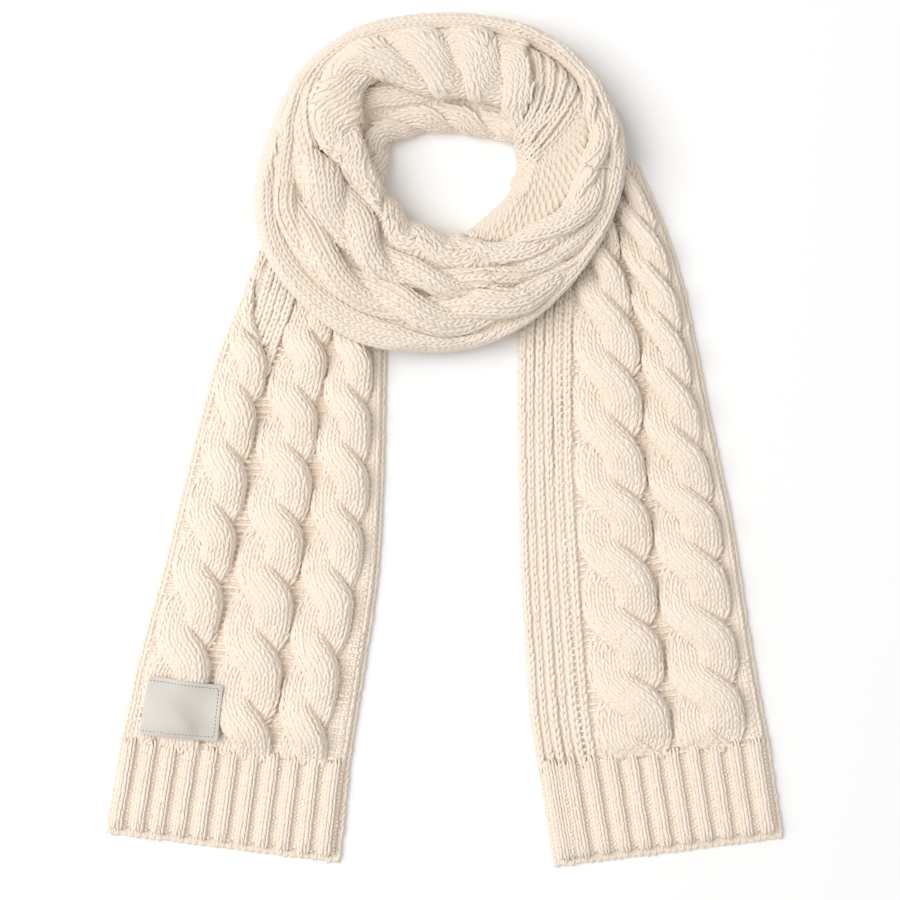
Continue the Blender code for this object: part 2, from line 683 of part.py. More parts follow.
def inner_crown(angle, share):
    return level(INNER_CROWN, angle)


def hidden_layers(name, count):
    # One rounded solid for the layers below, stepped where its edges show.
    bm = bmesh.new()
    rings = []
    for j in range(count):
        angle = 360 * j / count
        inner, outer = core_reach(angle)
        shows = 1 - core_step(angle) / CORE_STEP
        section = []
        for share in CORE_SHARES:
            radius = inner + share * (outer - inner)
            height = core_top(angle, radius) if 0 < share < 1 else CORE_EDGE
            cut = CORE_GROOVE[1] * shows if share == CORE_GROOVE[0] else 0.0
            section.append(bm.verts.new(neck_point(angle, radius, height - cut)))
        section.append(bm.verts.new(neck_point(angle, outer, 0.0)))
        section.append(bm.verts.new(neck_point(angle, inner, 0.0)))
        rings.append(section)
    for j in range(count):
        here, after = rings[j], rings[(j + 1) % count]
        for i in range(len(here)):
            k = (i + 1) % len(here)
            bm.faces.new((here[i], here[k], after[k], after[i]))
    return finish(name, bm, SHADE_CREAM)


# ---------------------------------------------------------------- label

def label(name):
    # A flat tab sewn over the first cable, just clear of its highest strands.
    low = TAIL_TOP + SEAM
    bm = bmesh.new()
    outline = [bm.verts.new((x, y, low)) for x, y in LABEL_CORNERS]
    bm.faces.new(outline)
    bmesh.ops.bevel(bm, geom=bm.verts[:], offset=LABEL_CORNER, segments=3, affect="VERTICES")
    raised = bmesh.ops.extrude_face_region(bm, geom=bm.faces[:])
    moved = [item for item in raised["geom"] if isinstance(item, bmesh.types.BMVert)]
    bmesh.ops.translate(bm, verts=moved, vec=(0, 0, LABEL_THICK))
    return finish(name, bm, LABEL_GREY, 0.6)


# ---------------------------------------------------------------- assembly

LEFT_LANES = (("edge", 2), ("cable", 8), ("ribs", 8), ("cable", 8), ("cable", 8), ("edge", 2))
RIGHT_LANES = (("cords", 12), ("cable", 8), ("cable", 8), ("edge", 2))

tail_front("tail_left_front", LEFT_ROWS, LEFT_LANES, LEFT_CROSSINGS, 44, 4)
tail_back("tail_left_back", LEFT_ROWS, 8)
hem_front("hem_left_front", LEFT_HEM, False)
hem_back("hem_left_back", LEFT_HEM)
tail_front("tail_right_front", RIGHT_ROWS, RIGHT_LANES, RIGHT_CROSSINGS, 46, 5)
tail_back("tail_right_back", RIGHT_ROWS, 8)
hem_front("hem_right_front", RIGHT_HEM, True)
hem_back("hem_right_back", RIGHT_HEM)

front_start, front_end = FRONT_SEAM
half_seam = seam_turn(SEAM_RADIUS)
neck_stretch("neck_front", turn_angles(front_start + half_seam, front_end - half_seam),
             front_lines, (4, 3, 4, 4), front_crown, front_depths, FRONT_CABLES)
neck_stretch("neck_back_outer", turn_angles(front_end - 360 + half_seam, front_start - half_seam),
             outer_lines, (4, 3, 4), outer_crown, outer_depths, OUTER_CABLES)
neck_stretch("neck_back_inner", turn_angles(INNER_TIP, front_start - half_seam),
             inner_lines, (11,), inner_crown, inner_depths, INNER_CABLES)
hidden_layers("neck_hidden_layers", 60)
label("label")
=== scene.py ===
import math

import bpy
import numpy as np
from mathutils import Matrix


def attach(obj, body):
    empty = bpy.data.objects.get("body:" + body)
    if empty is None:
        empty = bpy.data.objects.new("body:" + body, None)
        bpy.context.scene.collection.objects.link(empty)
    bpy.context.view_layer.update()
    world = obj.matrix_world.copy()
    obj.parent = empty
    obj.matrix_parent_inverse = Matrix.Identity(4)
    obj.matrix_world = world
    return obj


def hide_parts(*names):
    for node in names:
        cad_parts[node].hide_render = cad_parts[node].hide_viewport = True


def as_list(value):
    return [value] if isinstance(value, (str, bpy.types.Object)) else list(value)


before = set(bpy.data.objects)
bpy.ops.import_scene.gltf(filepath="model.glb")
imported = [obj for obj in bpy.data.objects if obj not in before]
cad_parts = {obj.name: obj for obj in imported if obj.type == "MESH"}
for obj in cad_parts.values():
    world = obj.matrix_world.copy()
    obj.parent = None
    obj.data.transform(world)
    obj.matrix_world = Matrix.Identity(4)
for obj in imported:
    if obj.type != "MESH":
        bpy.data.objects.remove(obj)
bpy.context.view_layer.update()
bpy.ops.object.select_all(action="DESELECT")
dice = np.random.default_rng(11)

# Sizes of the knitting, in metres
knit = {
    "wale": 0.0066,          # width of a knit stitch
    "row": 0.0058,           # height of a knit stitch
    "yarn": 0.0034,          # thickness of the yarn
    "seam": 0.0003,          # gap between neighbouring pieces
    "thick": 0.0040,         # thickness of the plain knitting
    "edge": 0.0045,          # height of a rolled edge
    "sink": 0.0012,          # how far the cloth lies below the tops of the stitches
    "tailFill": 0.0009,      # how far the loops of the cables sit in the cloth
    "neckFill": 0.0003,
    "cableRise": 0.0085,     # height of a cable strand above the plain knitting
    "cableCross": 0.0072,    # extra rise and fall where the two strands cross
    "cableRoom": 0.024,      # in narrower lanes the cable stands lower
    "chainRise": 0.0024,
    "ribRise": 0.0034,
}
# Half a cable is 1 across: sideways travel of a strand and its half width, how far
# its travel lags behind its height, how much straighter it runs between crossings,
# how many half turns half a cable is, and how full its section is, where 2 is round.
# Then the distance of its columns of stitches, the room they leave at its side, how far
# under the other strand they still run and how uneven they are.
tailRope = {"swing": 0.48, "width": 0.51, "lag": 0.45, "straight": 0.10, "pace": 0.53, "full": 3.0,
            "column": 0.0067, "room": 0.0012, "hidden": 0.0007, "wobble": 1.6}
neckRope = {"swing": 0.40, "width": 0.62, "lag": 0.0, "straight": 0.0, "pace": 0.25, "full": 2.2,
            "column": 0.006468, "room": 0.0010, "hidden": 0.0007, "wobble": 1.4}
innerRope = {**neckRope, "swing": 0.44, "width": 0.53, "lag": 0.35, "straight": 0.06, "pace": 0.66,
             "full": 2.6}
frontFloor = knit["thick"] + knit["seam"]
tailTop = frontFloor + knit["thick"] + knit["cableRise"] + knit["cableCross"]
upright = np.array([0.0, 0.0, 1.0])


# ---- curves and small helpers

def curve(table, x, column=1):
    # Smooth curve through one column of a table
    xs = np.array([row[0] for row in table], dtype=float)
    ys = np.array([row[column] for row in table], dtype=float)
    if xs[0] > xs[-1]:
        xs, ys = xs[::-1], ys[::-1]
    slope = np.gradient(ys, xs)
    x = np.clip(x, xs[0], xs[-1])
    i = np.clip(np.searchsorted(xs, x) - 1, 0, len(xs) - 2)
    step = xs[i + 1] - xs[i]
    t = (x - xs[i]) / step
    start = (1 + 2 * t) * (1 - t) ** 2 * ys[i] + t * (1 - t) ** 2 * step * slope[i]
    end = t * t * (3 - 2 * t) * ys[i + 1] - t * t * (1 - t) * step * slope[i + 1]
    return start + end


def straight(table, x):
    # Straight lines through a table of pairs
    return np.interp(x, *zip(*table))


def rounded(distance, reach):
    # Quarter ellipse, 0 at an edge and 1 from reach inwards
    return np.sqrt(1 - (1 - np.clip(distance / reach, 0, 1)) ** 2)


def unit(vectors):
    return vectors / np.maximum(np.linalg.norm(vectors, axis=-1, keepdims=True), 1e-9)


def at(x, y, z):
    return np.stack(np.broadcast_arrays(x, y, z), axis=-1)


def strandLine(cable, turn, side):
    # Centre of one strand and its slope
    swing, place = side * cable["swing"], turn - cable["lag"]
    centre = swing * (np.cos(place) - cable["straight"] * np.cos(3 * place))
    slope = swing * (3 * cable["straight"] * np.sin(3 * place) - np.sin(place))
    return centre, slope * math.pi * cable["pace"]


def strandRise(turn, side):
    return knit["cableRise"] + side * np.sin(turn) * knit["cableCross"]


def strandBody(cable, w):
    # Section of a strand, 1 in its middle and 0 at both sides
    return (1 - np.clip(np.abs(w), 0, 1) ** cable["full"]) ** (1 / cable["full"])


def strandHeight(cable, across, crossings, side):
    # Height of one strand, by the nearest place on its centre
    near = crossings + 0 * across
    for step in range(5):
        centre, slope = strandLine(cable, math.pi * near, side)
        near = near + (cable["pace"] * (across - centre) * slope + crossings - near) / (1 + slope ** 2)
    centre, slope = strandLine(cable, math.pi * near, side)
    offset = np.hypot(across - centre, (crossings - near) / cable["pace"]) / cable["width"]
    return strandRise(math.pi * near, side) * strandBody(cable, offset)


def rope(cable, across, crossings):
    # Height of two strands twisted round each other
    return np.maximum(strandHeight(cable, across, crossings, 1), strandHeight(cable, across, crossings, -1))


def placesOver(cable, half, rise, distance):
    # Places w a distance from the middle of a strand, over its round top, and the
    # distance left to its side
    w = np.linspace(0, 1, 90)
    run = np.cumsum(np.hypot(np.diff(w) * half[:, None] * cable["width"],
                             np.diff(strandBody(cable, w)) * rise[:, None]), axis=1)
    run = np.concatenate([np.zeros((len(half), 1)), run], axis=1)
    found = np.array([np.interp(abs(distance), row, w) for row in run])
    return found * (1 if distance > 0 else -1), run[:, -1] - abs(distance)


# ---- one stitch of each kind, modelled once

# Loops as shares of the stitch and of the yarn: length, width, height and dip at the ends
stitchShape = {"leg": (1.85, 1.06, 0.92, 0.30), "bar": (1.18, 0.56, 0.84, 0.42)}


def editWhole(piece, *edits):
    # Edits the whole mesh of a piece
    bpy.ops.object.select_all(action="DESELECT")
    piece.select_set(True)
    bpy.context.view_layer.objects.active = piece
    bpy.ops.object.mode_set(mode="EDIT")
    bpy.ops.mesh.select_all(action="SELECT")
    for edit, values in edits:
        edit(**values)
    bpy.ops.object.mode_set(mode="OBJECT")


def quarterTurn(axis):
    values = {"value": math.radians(90), "orient_axis": axis, "center_override": (0, 0, 0)}
    return bpy.ops.transform.rotate, values


def shapeLoop(length, width, height, tilt, shift, dip, rings=5):
    # One plump loop of yarn, along Y, with its ends dipping into the cloth
    bpy.ops.mesh.primitive_uv_sphere_add(segments=5, ring_count=rings, radius=0.5)
    loop = bpy.context.object
    size = {"value": (width, length, height), "center_override": (0, 0, 0)}
    editWhole(loop, quarterTurn("X"), (bpy.ops.transform.resize, size))
    for vertex in loop.data.vertices:
        run = vertex.co.y / (length / 2)
        vertex.co.z -= dip * run * run
        vertex.co.x += shift + math.tan(tilt) * vertex.co.y
    return loop


def takeShape(loops):
    # Joins the loops, keeps their mesh as arrays and clears the models away
    bpy.ops.object.select_all(action="DESELECT")
    for loop in loops:
        loop.select_set(True)
    bpy.context.view_layer.objects.active = loops[0]
    if len(loops) > 1:
        bpy.ops.object.join()
    editWhole(bpy.context.object, (bpy.ops.mesh.normals_make_consistent, {"inside": False}))
    mesh = bpy.context.object.data
    shape = {
        "points": np.array([tuple(vertex.co) for vertex in mesh.vertices]),
        "corners": np.array([loop.vertex_index for loop in mesh.loops]),
        "sizes": np.array([face.loop_total for face in mesh.polygons]),
        "places": np.array([tuple(item.uv) for item in mesh.uv_layers.active.data]),
    }
    bpy.ops.object.delete()
    return shape


def knitStitch(wale, row, lean=13, leg=0.50, spread=0.245, rings=5):
    # The two legs of a knit stitch, a V that opens upwards
    long, wide, high, dip = stitchShape["leg"]
    return takeShape([shapeLoop(row * long, wale * leg * wide, knit["yarn"] * high, side * math.radians(lean),
                                side * wale * spread, knit["yarn"] * dip, rings) for side in (1, -1)])


def purlStitch(wale, row):
    # The bar of a purl stitch, an arch across the column
    long, wide, high, dip = stitchShape["bar"]
    bar = shapeLoop(wale * long, row * wide, knit["yarn"] * high, 0, 0, knit["yarn"] * dip, rings=4)
    editWhole(bar, quarterTurn("Z"))
    return takeShape([bar])


knitV = knitStitch(knit["wale"], knit["row"])
chainV = knitStitch(knit["wale"], knit["row"] * 1.15, lean=11, leg=0.56, spread=0.18, rings=4)
ribV = knitStitch(knit["wale"] * 0.84, knit["row"])
cordV = knitStitch(knit["wale"] * 0.84, knit["row"] * 1.25, lean=7, rings=4)
purlBar = purlStitch(knit["wale"], knit["row"])
print("stitches modelled")


# ---- placing stitches

# How far apart the cloth is probed for its direction, along and across
probe = {"tailStrand": (0.0015, 0.02), "tail": (0.002, 0.0012), "hem": (-0.02, 0.004),
         "neckStrand": (0.8, 0.02), "neck": (1.0, 0.012), "sweep": (0.02, -1.0)}
# How uneven the stitches are: degrees of turn, size, height and place aside
uneven = {"turn": 3.2, "size": 0.045, "lift": 0.00012, "aside": 0.00018}
# How stitches grow where rows fan out: least, most, and how much of it widens them
fan = {"least": 0.75, "most": 1.7, "widen": 0.4, "wide": 1.04}


def framesAt(surface, t, w, stepT, stepW):
    # Place, direction and upward side of the cloth at each stitch
    along = surface(t + stepT, w) - surface(t - stepT, w)
    across = surface(t, w + stepW) - surface(t, w - stepW)
    return surface(t, w), unit(along), unit(np.cross(across, along))


def rowsAlong(surface, start, end, spacing, phase=0.5):
    # Where the rows fall on the line w = 0 of the cloth, one row every spacing
    t = np.linspace(start, end, 700)
    line = surface(t, 0 * t)
    run = np.concatenate([[0], np.cumsum(np.linalg.norm(np.diff(line, axis=0), axis=1))])
    count = max(1, int(run[-1] / spacing))
    return np.interp((np.arange(count) + phase) * run[-1] / count, run, t)


def fanned(here):
    # Stitches grow where their rows fan out, and shrink where the rows crowd
    apart = np.linalg.norm(np.gradient(here, axis=0), axis=1) / knit["row"]
    long = np.clip(apart, fan["least"], fan["most"])
    return at(fan["wide"] * (1 - fan["widen"] + fan["widen"] * long), long, 1.0)


def placeStitches(shape, frames, keep=slice(None), lift=0.0, size=(1, 1, 1), wobble=1.0):
    # Copies a stitch to the places that are kept, each a little different
    here, along, upward = [part[keep] for part in frames]
    count = len(here)
    if count == 0:
        return None
    turn = dice.normal(0, math.radians(uneven["turn"]) * wobble, count)[:, None]
    across = unit(np.cross(along, upward))
    ahead = unit(along * np.cos(turn) + across * np.sin(turn))
    aside = unit(np.cross(ahead, upward))
    grow = 1 + dice.normal(0, uneven["size"] * wobble, (count, 3))
    start = here + upward * (lift + dice.normal(0, uneven["lift"] * wobble, count)[:, None])
    start = start + aside * dice.normal(0, uneven["aside"] * wobble, count)[:, None]
    local = shape["points"][None] * (np.broadcast_to(size, (count, 3)) * grow)[:, None]
    points = start[:, None] + (local[..., 0:1] * aside[:, None] + local[..., 1:2] * ahead[:, None]
                               + local[..., 2:3] * upward[:, None])
    return shape, points


def stitchLine(surface, stitch, span, spacing, steps, shows, phase=0.5, **look):
    # Stitches along the line w = 0 of a surface, where they show
    t = rowsAlong(surface, *span, spacing, phase)
    frames = framesAt(surface, t, 0 * t, *steps)
    return placeStitches(stitch, frames, shows(t, frames[0]), **look)


def coverStrands(cable, strand, room, span, phase, steps, shows):
    # Columns of stitches over the round tops of the two strands of a cable
    batches = []
    for side in (1, -1):
        def surface(t, w):
            return strand(side, t, w)[0]

        t = rowsAlong(surface, *span, knit["row"], phase)
        half, turn, stands = room(t)
        for column in range(-4, 5):
            w, left = placesOver(cable, half, strandRise(turn, side) * stands, column * cable["column"])
            frames = framesAt(surface, t, w, *steps)
            over, *rest = strand(side, t, w)[1:]
            keep = (over > -cable["hidden"]) & (left > cable["room"]) & shows(t, frames[0], *rest)
            size = fanned(frames[0])[keep]
            batches.append(placeStitches(knitV, frames, keep, 0.0004, size, cable["wobble"]))
    return batches


def buildMesh(name, points, corners, sizes, colour, places=None):
    # A mesh object from arrays
    mesh = bpy.data.meshes.new(name)
    mesh.vertices.add(len(points))
    mesh.vertices.foreach_set("co", np.ascontiguousarray(points, dtype=np.float32).ravel())
    mesh.loops.add(len(corners))
    mesh.loops.foreach_set("vertex_index", corners.astype(np.int32))
    mesh.polygons.add(len(sizes))
    starts = np.concatenate([[0], np.cumsum(sizes)[:-1]])
    mesh.polygons.foreach_set("loop_start", starts.astype(np.int32))
    mesh.update(calc_edges=True)
    mesh.validate()
    if places is not None:
        layer = mesh.uv_layers.new(name="yarn")
        layer.uv.foreach_set("vector", places.astype(np.float32).ravel())
    mesh.polygons.foreach_set("use_smooth", np.ones(len(mesh.polygons), dtype=bool))
    mesh.materials.append(colour)
    piece = bpy.data.objects.new(name, mesh)
    bpy.context.scene.collection.objects.link(piece)
    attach(piece, "root")
    return piece


def buildYarn(name, batches, colour):
    # All stitches of one stretch as a single mesh, none below the floor
    points, corners, sizes, places = [], [], [], []
    used = 0
    for batch in batches:
        if batch is None:
            continue
        shape, placed = batch
        count, each = placed.shape[:2]
        placed[..., 2] = np.maximum(placed[..., 2], 0.0001)
        points.append(placed.reshape(-1, 3))
        offsets = used + np.arange(count) * each
        corners.append((shape["corners"][None] + offsets[:, None]).ravel())
        sizes.append(np.tile(shape["sizes"], count))
        places.append(np.tile(shape["places"], (count, 1)))
        used += count * each
    print(name, "stitched")
    return buildMesh(name, np.concatenate(points), np.concatenate(corners), np.concatenate(sizes), colour,
                     np.concatenate(places))


def buildCloth(node, top, bottom, colour):
    # Closed cloth between a grid of top points and a coarser grid of bottom points, in
    # the place of the node's solid
    rows, wide = top.shape[:2]
    below = bottom.shape[1]
    stride = (wide - 1) // (below - 1)
    upper = np.arange(rows * wide).reshape(rows, wide)
    lower = rows * wide + np.arange(rows * below).reshape(rows, below)
    corners, sizes = [], []

    def addFaces(*loop):
        corners.append(np.stack(loop, axis=-1).ravel())
        sizes.append(np.full(loop[0].size, len(loop)))

    addFaces(upper[:-1, :-1], upper[:-1, 1:], upper[1:, 1:], upper[1:, :-1])
    addFaces(lower[:-1, :-1], lower[1:, :-1], lower[1:, 1:], lower[:-1, 1:])
    addFaces(upper[:-1, 0], upper[1:, 0], lower[1:, 0], lower[:-1, 0])
    addFaces(lower[:-1, -1], lower[1:, -1], upper[1:, -1], upper[:-1, -1])
    for row, turn in ((0, -1), (-1, 1)):
        for i in range(below - 1):
            arch = list(upper[row, i * stride:(i + 1) * stride + 1]) + [lower[row, i + 1], lower[row, i]]
            addFaces(*[np.array([corner]) for corner in arch[::turn]])
    piece = buildMesh(node + "_cloth", np.concatenate([top.reshape(-1, 3), bottom.reshape(-1, 3)]),
                      np.concatenate(corners), np.concatenate(sizes), colour)
    editWhole(piece, (bpy.ops.mesh.normals_make_consistent, {"inside": False}))
    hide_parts(node)
    return piece


# ---- materials

def addNode(tree, kind, place, **values):
    node = tree.nodes.new("ShaderNode" + kind)
    node.location = place
    for key, value in values.items():
        if key in node.inputs:
            node.inputs[key].default_value = value
        else:
            setattr(node, key, value)
    return node


def addMath(tree, place, operation, second=None):
    node = addNode(tree, "Math", place, operation=operation)
    if second is not None:
        node.inputs[1].default_value = second
    return node


def addBlend(tree, place, first, last):
    # Mixes two colours
    node = addNode(tree, "Mix", place, data_type="RGBA")
    node.inputs[6].default_value, node.inputs[7].default_value = (*first, 1), (*last, 1)
    return node


def wire(tree, *links):
    for source, output, target, entry in links:
        tree.links.new(source.outputs[output], target.inputs[entry])


def newMaterial(name, looks):
    made = bpy.data.materials.new(name)
    made.use_nodes = True
    shader = made.node_tree.nodes["Principled BSDF"]
    for key, value in looks.items():
        shader.inputs[key].default_value = value
    return made, made.node_tree, shader


def makeFibreGroup():
    # Soft spun yarn: cloudy tone, fine fibres and loosely twisted plies
    group = bpy.data.node_groups.new("spunYarn", "ShaderNodeTree")
    entries = {"Tone Size": 26.0, "Fibre Size": 900.0, "Ply Strength": 0.5, "Tone Strength": 0.5}
    for name, value in entries.items():
        socket = group.interface.new_socket(name=name, in_out="INPUT", socket_type="NodeSocketFloat")
        socket.default_value = value
    for name in ("Tone", "Height"):
        group.interface.new_socket(name=name, in_out="OUTPUT", socket_type="NodeSocketFloat")
    into, out = group.nodes.new("NodeGroupInput"), group.nodes.new("NodeGroupOutput")
    into.location, out.location = (-900, 0), (700, 0)
    place = addNode(group, "TexCoord", (-900, 300))
    cloud = addNode(group, "TexNoise", (-600, 300), Detail=3.0, Roughness=0.55)
    fine = addNode(group, "TexNoise", (-600, 60), Detail=2.0, Roughness=0.6)
    uvMap = addNode(group, "UVMap", (-900, -260), uv_map="yarn")
    apart = addNode(group, "SeparateXYZ", (-700, -260))
    winds = addMath(group, (-520, -200), "MULTIPLY", 18.85)
    rise = addMath(group, (-520, -380), "MULTIPLY", 9.4)
    both = addMath(group, (-340, -260), "ADD")
    wave = addMath(group, (-160, -260), "SINE")
    plies = addMath(group, (20, -260), "MULTIPLY")
    total = addMath(group, (220, -100), "ADD")
    centred = addMath(group, (-300, 300), "SUBTRACT", 0.5)
    scaled = addMath(group, (-100, 300), "MULTIPLY")
    wire(group, (place, "Object", cloud, "Vector"), (into, "Tone Size", cloud, "Scale"),
         (place, "Object", fine, "Vector"), (into, "Fibre Size", fine, "Scale"),
         (uvMap, "UV", apart, 0), (apart, "X", winds, 0), (apart, "Y", rise, 0), (winds, 0, both, 0),
         (rise, 0, both, 1), (both, 0, wave, 0), (wave, 0, plies, 0), (into, "Ply Strength", plies, 1),
         (plies, 0, total, 0), (fine, "Fac", total, 1), (total, 0, out, "Height"),
         (cloud, "Fac", centred, 0), (centred, 0, scaled, 0), (into, "Tone Strength", scaled, 1),
         (scaled, 0, out, "Tone"))
    return group


fibreGroup = makeFibreGroup()
wool = {
    "light": (0.938, 0.840, 0.738), "deep": (0.908, 0.792, 0.674),
    # painted shade: the cloth under the stitches is coloured darker and warmer than the yarn, for the shade
    # in the gaps between stitches
    "shadedGroundLight": (0.905, 0.788, 0.662), "shadedGroundDeep": (0.855, 0.722, 0.582),
    "neckPaintedShade": 0.955,      # painted shade: the neck's wool is coloured a little darker than the tails' for the deeper shade among its folds
    "ply": 0.5, "bump": 0.35,
    "looks": {"Roughness": 0.92, "Specular IOR Level": 0.15, "Sheen Weight": 0.35, "Sheen Roughness": 0.55,
              "Sheen Tint": (1.0, 0.95, 0.88, 1)},
}


def makeWool(name, light, deep, ply, share=1.0):
    made, tree, shader = newMaterial(name, wool["looks"])
    fibre = addNode(tree, "Group", (-700, 0), node_tree=fibreGroup)
    fibre.inputs["Ply Strength"].default_value = ply
    ramp = addNode(tree, "MapRange", (-480, 160))
    ramp.inputs["From Min"].default_value, ramp.inputs["From Max"].default_value = -0.25, 0.25
    blend = addBlend(tree, (-260, 200), [value * share for value in wool[deep]],
                     [value * share for value in wool[light]])
    bump = addNode(tree, "Bump", (-260, -160), Strength=wool["bump"], Distance=0.0006)
    wire(tree, (fibre, "Tone", ramp, "Value"), (ramp, "Result", blend, 0), (blend, 2, shader, "Base Color"),
         (fibre, "Height", bump, "Height"), (bump, "Normal", shader, "Normal"))
    return made


yarnWool = makeWool("creamYarn", "light", "deep", wool["ply"])
# The cloth under the stitches takes the darker wool, which is painted shade between the stitches
groundWool = makeWool("creamGroundPaintedShade", "shadedGroundLight", "shadedGroundDeep", 0.0)
# The neck's yarn and cloth are darkened a little, which is painted shade for its folds
neckYarnWool = makeWool("creamNeckYarnPaintedShade", "light", "deep", wool["ply"], wool["neckPaintedShade"])
neckGroundWool = makeWool("creamNeckGroundPaintedShade", "shadedGroundLight", "shadedGroundDeep", 0.0, wool["neckPaintedShade"])
print("materials ready")


# ---- neck outline, shared by the tails that tuck in under it

neck = {
    "centre": (0.0005, 0.2288),
    # the hidden layers: height, lip, how far they lie inside the outline and the opening,
    # and how far the folds stay clear of them
    "coreCrown": 0.0255, "coreLip": 0.003, "coreInset": 0.0118, "coreStep": 0.0150, "clear": 0.0008,
    # radii of the opening and of the outline, every 20 degrees
    "opening": (0.060, 0.071, 0.064, 0.053, 0.049, 0.050, 0.054, 0.062, 0.057, 0.054, 0.050, 0.047, 0.045,
                0.045, 0.047, 0.046, 0.045, 0.051),
    "outline": (0.159, 0.167, 0.167, 0.162, 0.155, 0.155, 0.162, 0.166, 0.165, 0.168, 0.172, 0.167, 0.162,
                0.153, 0.149, 0.145, 0.144, 0.149),
    # the crease between the inner and the outer turn: angle, radius
    "turnCrease": (
        (-76, 0.048), (-66, 0.056), (-57, 0.066), (-44, 0.075), (-32, 0.085), (-22, 0.097),
        (-8, 0.111), (2, 0.122), (12, 0.131), (24, 0.141), (35, 0.145), (45, 0.145),
        (57, 0.141), (70, 0.137), (85, 0.134), (100, 0.134), (110, 0.137), (124, 0.142),
        (136, 0.143), (149, 0.135), (159, 0.123), (170, 0.105), (184, 0.079), (194, 0.074),
        (208, 0.071), (237, 0.075), (260, 0.074), (280, 0.079), (303, 0.090), (323, 0.107),
        (339, 0.125), (353, 0.139), (365, 0.145),
    ),
    "innerEdge": (
        (-66, 0.0460), (-44, 0.0450), (-22, 0.0500), (-8, 0.0570), (2, 0.0610), (12, 0.0680),
        (24, 0.0710), (35, 0.0760), (45, 0.0820), (57, 0.0820), (73, 0.0770), (87, 0.0765),
        (100, 0.0780), (108, 0.0870), (116, 0.1020), (124, 0.1090), (136, 0.1070),
        (143, 0.0960), (149, 0.0870), (159, 0.0750), (165, 0.0700), (172, 0.0650),
        (184, 0.0570), (200, 0.0500), (220, 0.0470), (240, 0.0450), (260, 0.0450),
        (284, 0.0480),
    ),
    # creases of the front folds: angle, radius, depth
    "frontCrease": (
        (165, 0.138, 0.004), (180, 0.132, 0.004), (200, 0.117, 0.004), (216, 0.111, 0.005),
        (238, 0.1035, 0.006), (262, 0.099, 0.009), (280, 0.101, 0.012), (299, 0.1035, 0.014),
        (308, 0.110, 0.014), (320, 0.122, 0.012), (328, 0.130, 0.009), (336, 0.137, 0.006),
        (350, 0.146, 0.003), (365, 0.153, 0.002),
    ),
    "lowerCrease": (
        (165, 0.151, 0.004), (190, 0.150, 0.004), (200, 0.148, 0.005), (216, 0.144, 0.005),
        (231, 0.136, 0.005), (244, 0.132, 0.006), (264, 0.133, 0.007), (285, 0.135, 0.006),
        (300, 0.136, 0.003), (320, 0.137, 0.002), (336, 0.1435, 0.001), (350, 0.151, 0.001),
        (365, 0.158, 0.001),
    ),
    # height of what the outer edge lies on: the surface, or a tail
    "foot": (
        (10, tailTop), (26, 0.0), (166, 0.0), (181, tailTop), (252, tailTop), (264, 0.010),
        (278, 0.010), (290, tailTop), (370, tailTop), (386, 0.0),
    ),
}
openingTable, outlineTable = [[(20 * i, radii[i % 18]) for i in range(-2, 20)]
                              for radii in (neck["opening"], neck["outline"])]


def openingRadius(angle):
    return curve(openingTable, np.mod(angle, 360))


def outlineRadius(angle):
    return curve(outlineTable, np.mod(angle, 360))


def neckPoint(angle, radius, z):
    turn = np.radians(angle)
    return at(neck["centre"][0] + radius * np.cos(turn), neck["centre"][1] + radius * np.sin(turn), z)


def neckDepth(x, y):
    # How far a point lies inside the outline of the neck folds
    dx, dy = x - neck["centre"][0], y - neck["centre"][1]
    return outlineRadius(np.degrees(np.arctan2(dy, dx))) - np.hypot(dx, dy)


# ---- tails

leftTail = {
    "name": "left",
    # height of the row, its slope, x of the left edge, of the ditches and of the right edge
    "rows": (
        (0.198, 0.000, -0.1525, -0.1505, -0.1450, -0.1120, -0.0795, -0.0485, -0.0435),
        (0.162, 0.000, -0.1690, -0.1670, -0.1610, -0.1230, -0.0870, -0.0540, -0.0485),
        (0.136, 0.000, -0.1795, -0.1770, -0.1690, -0.1310, -0.0925, -0.0580, -0.0520),
        (0.108, 0.000, -0.1908, -0.1870, -0.1710, -0.1400, -0.0980, -0.0612, -0.0547),
        (0.081, 0.000, -0.2015, -0.1965, -0.1585, -0.1500, -0.1025, -0.0635, -0.0565),
        (0.060, 0.000, -0.2080, -0.2020, -0.1590, -0.1560, -0.1065, -0.0642, -0.0568),
        (0.018, 0.000, -0.2195, -0.2125, -0.1680, -0.1650, -0.1125, -0.0655, -0.0575),
        (-0.054, 0.000, -0.2375, -0.2300, -0.1790, -0.1760, -0.1195, -0.0685, -0.0595),
        (-0.126, -0.030, -0.2545, -0.2465, -0.1930, -0.1900, -0.1305, -0.0765, -0.0645),
        (-0.198, -0.060, -0.2735, -0.2645, -0.2070, -0.2040, -0.1425, -0.0915, -0.0755),
        (-0.281, -0.108, -0.2905, -0.2810, -0.2190, -0.2160, -0.1555, -0.1065, -0.0895),
    ),
    "lanes": ("edge", "cable", "ribs", "cable", "cable", "edge"),
    # height of each crossing of the cables
    "crossings": ((-0.356, -2), (-0.293, -1), (-0.230, 0), (-0.169, 1), (-0.111, 2), (-0.056, 3), (-0.002, 4),
                  (0.050, 5), (0.100, 6), (0.147, 7), (0.198, 8)),
    # upper and lower end of the hem: height, slope, left and right edge
    "hem": ((-0.281, -0.108, -0.2905, -0.0895), (-0.359, -0.130, -0.3035, -0.0985)),
    "low": -0.281, "high": 0.198, "cloth": (0.19, 0.47),
}
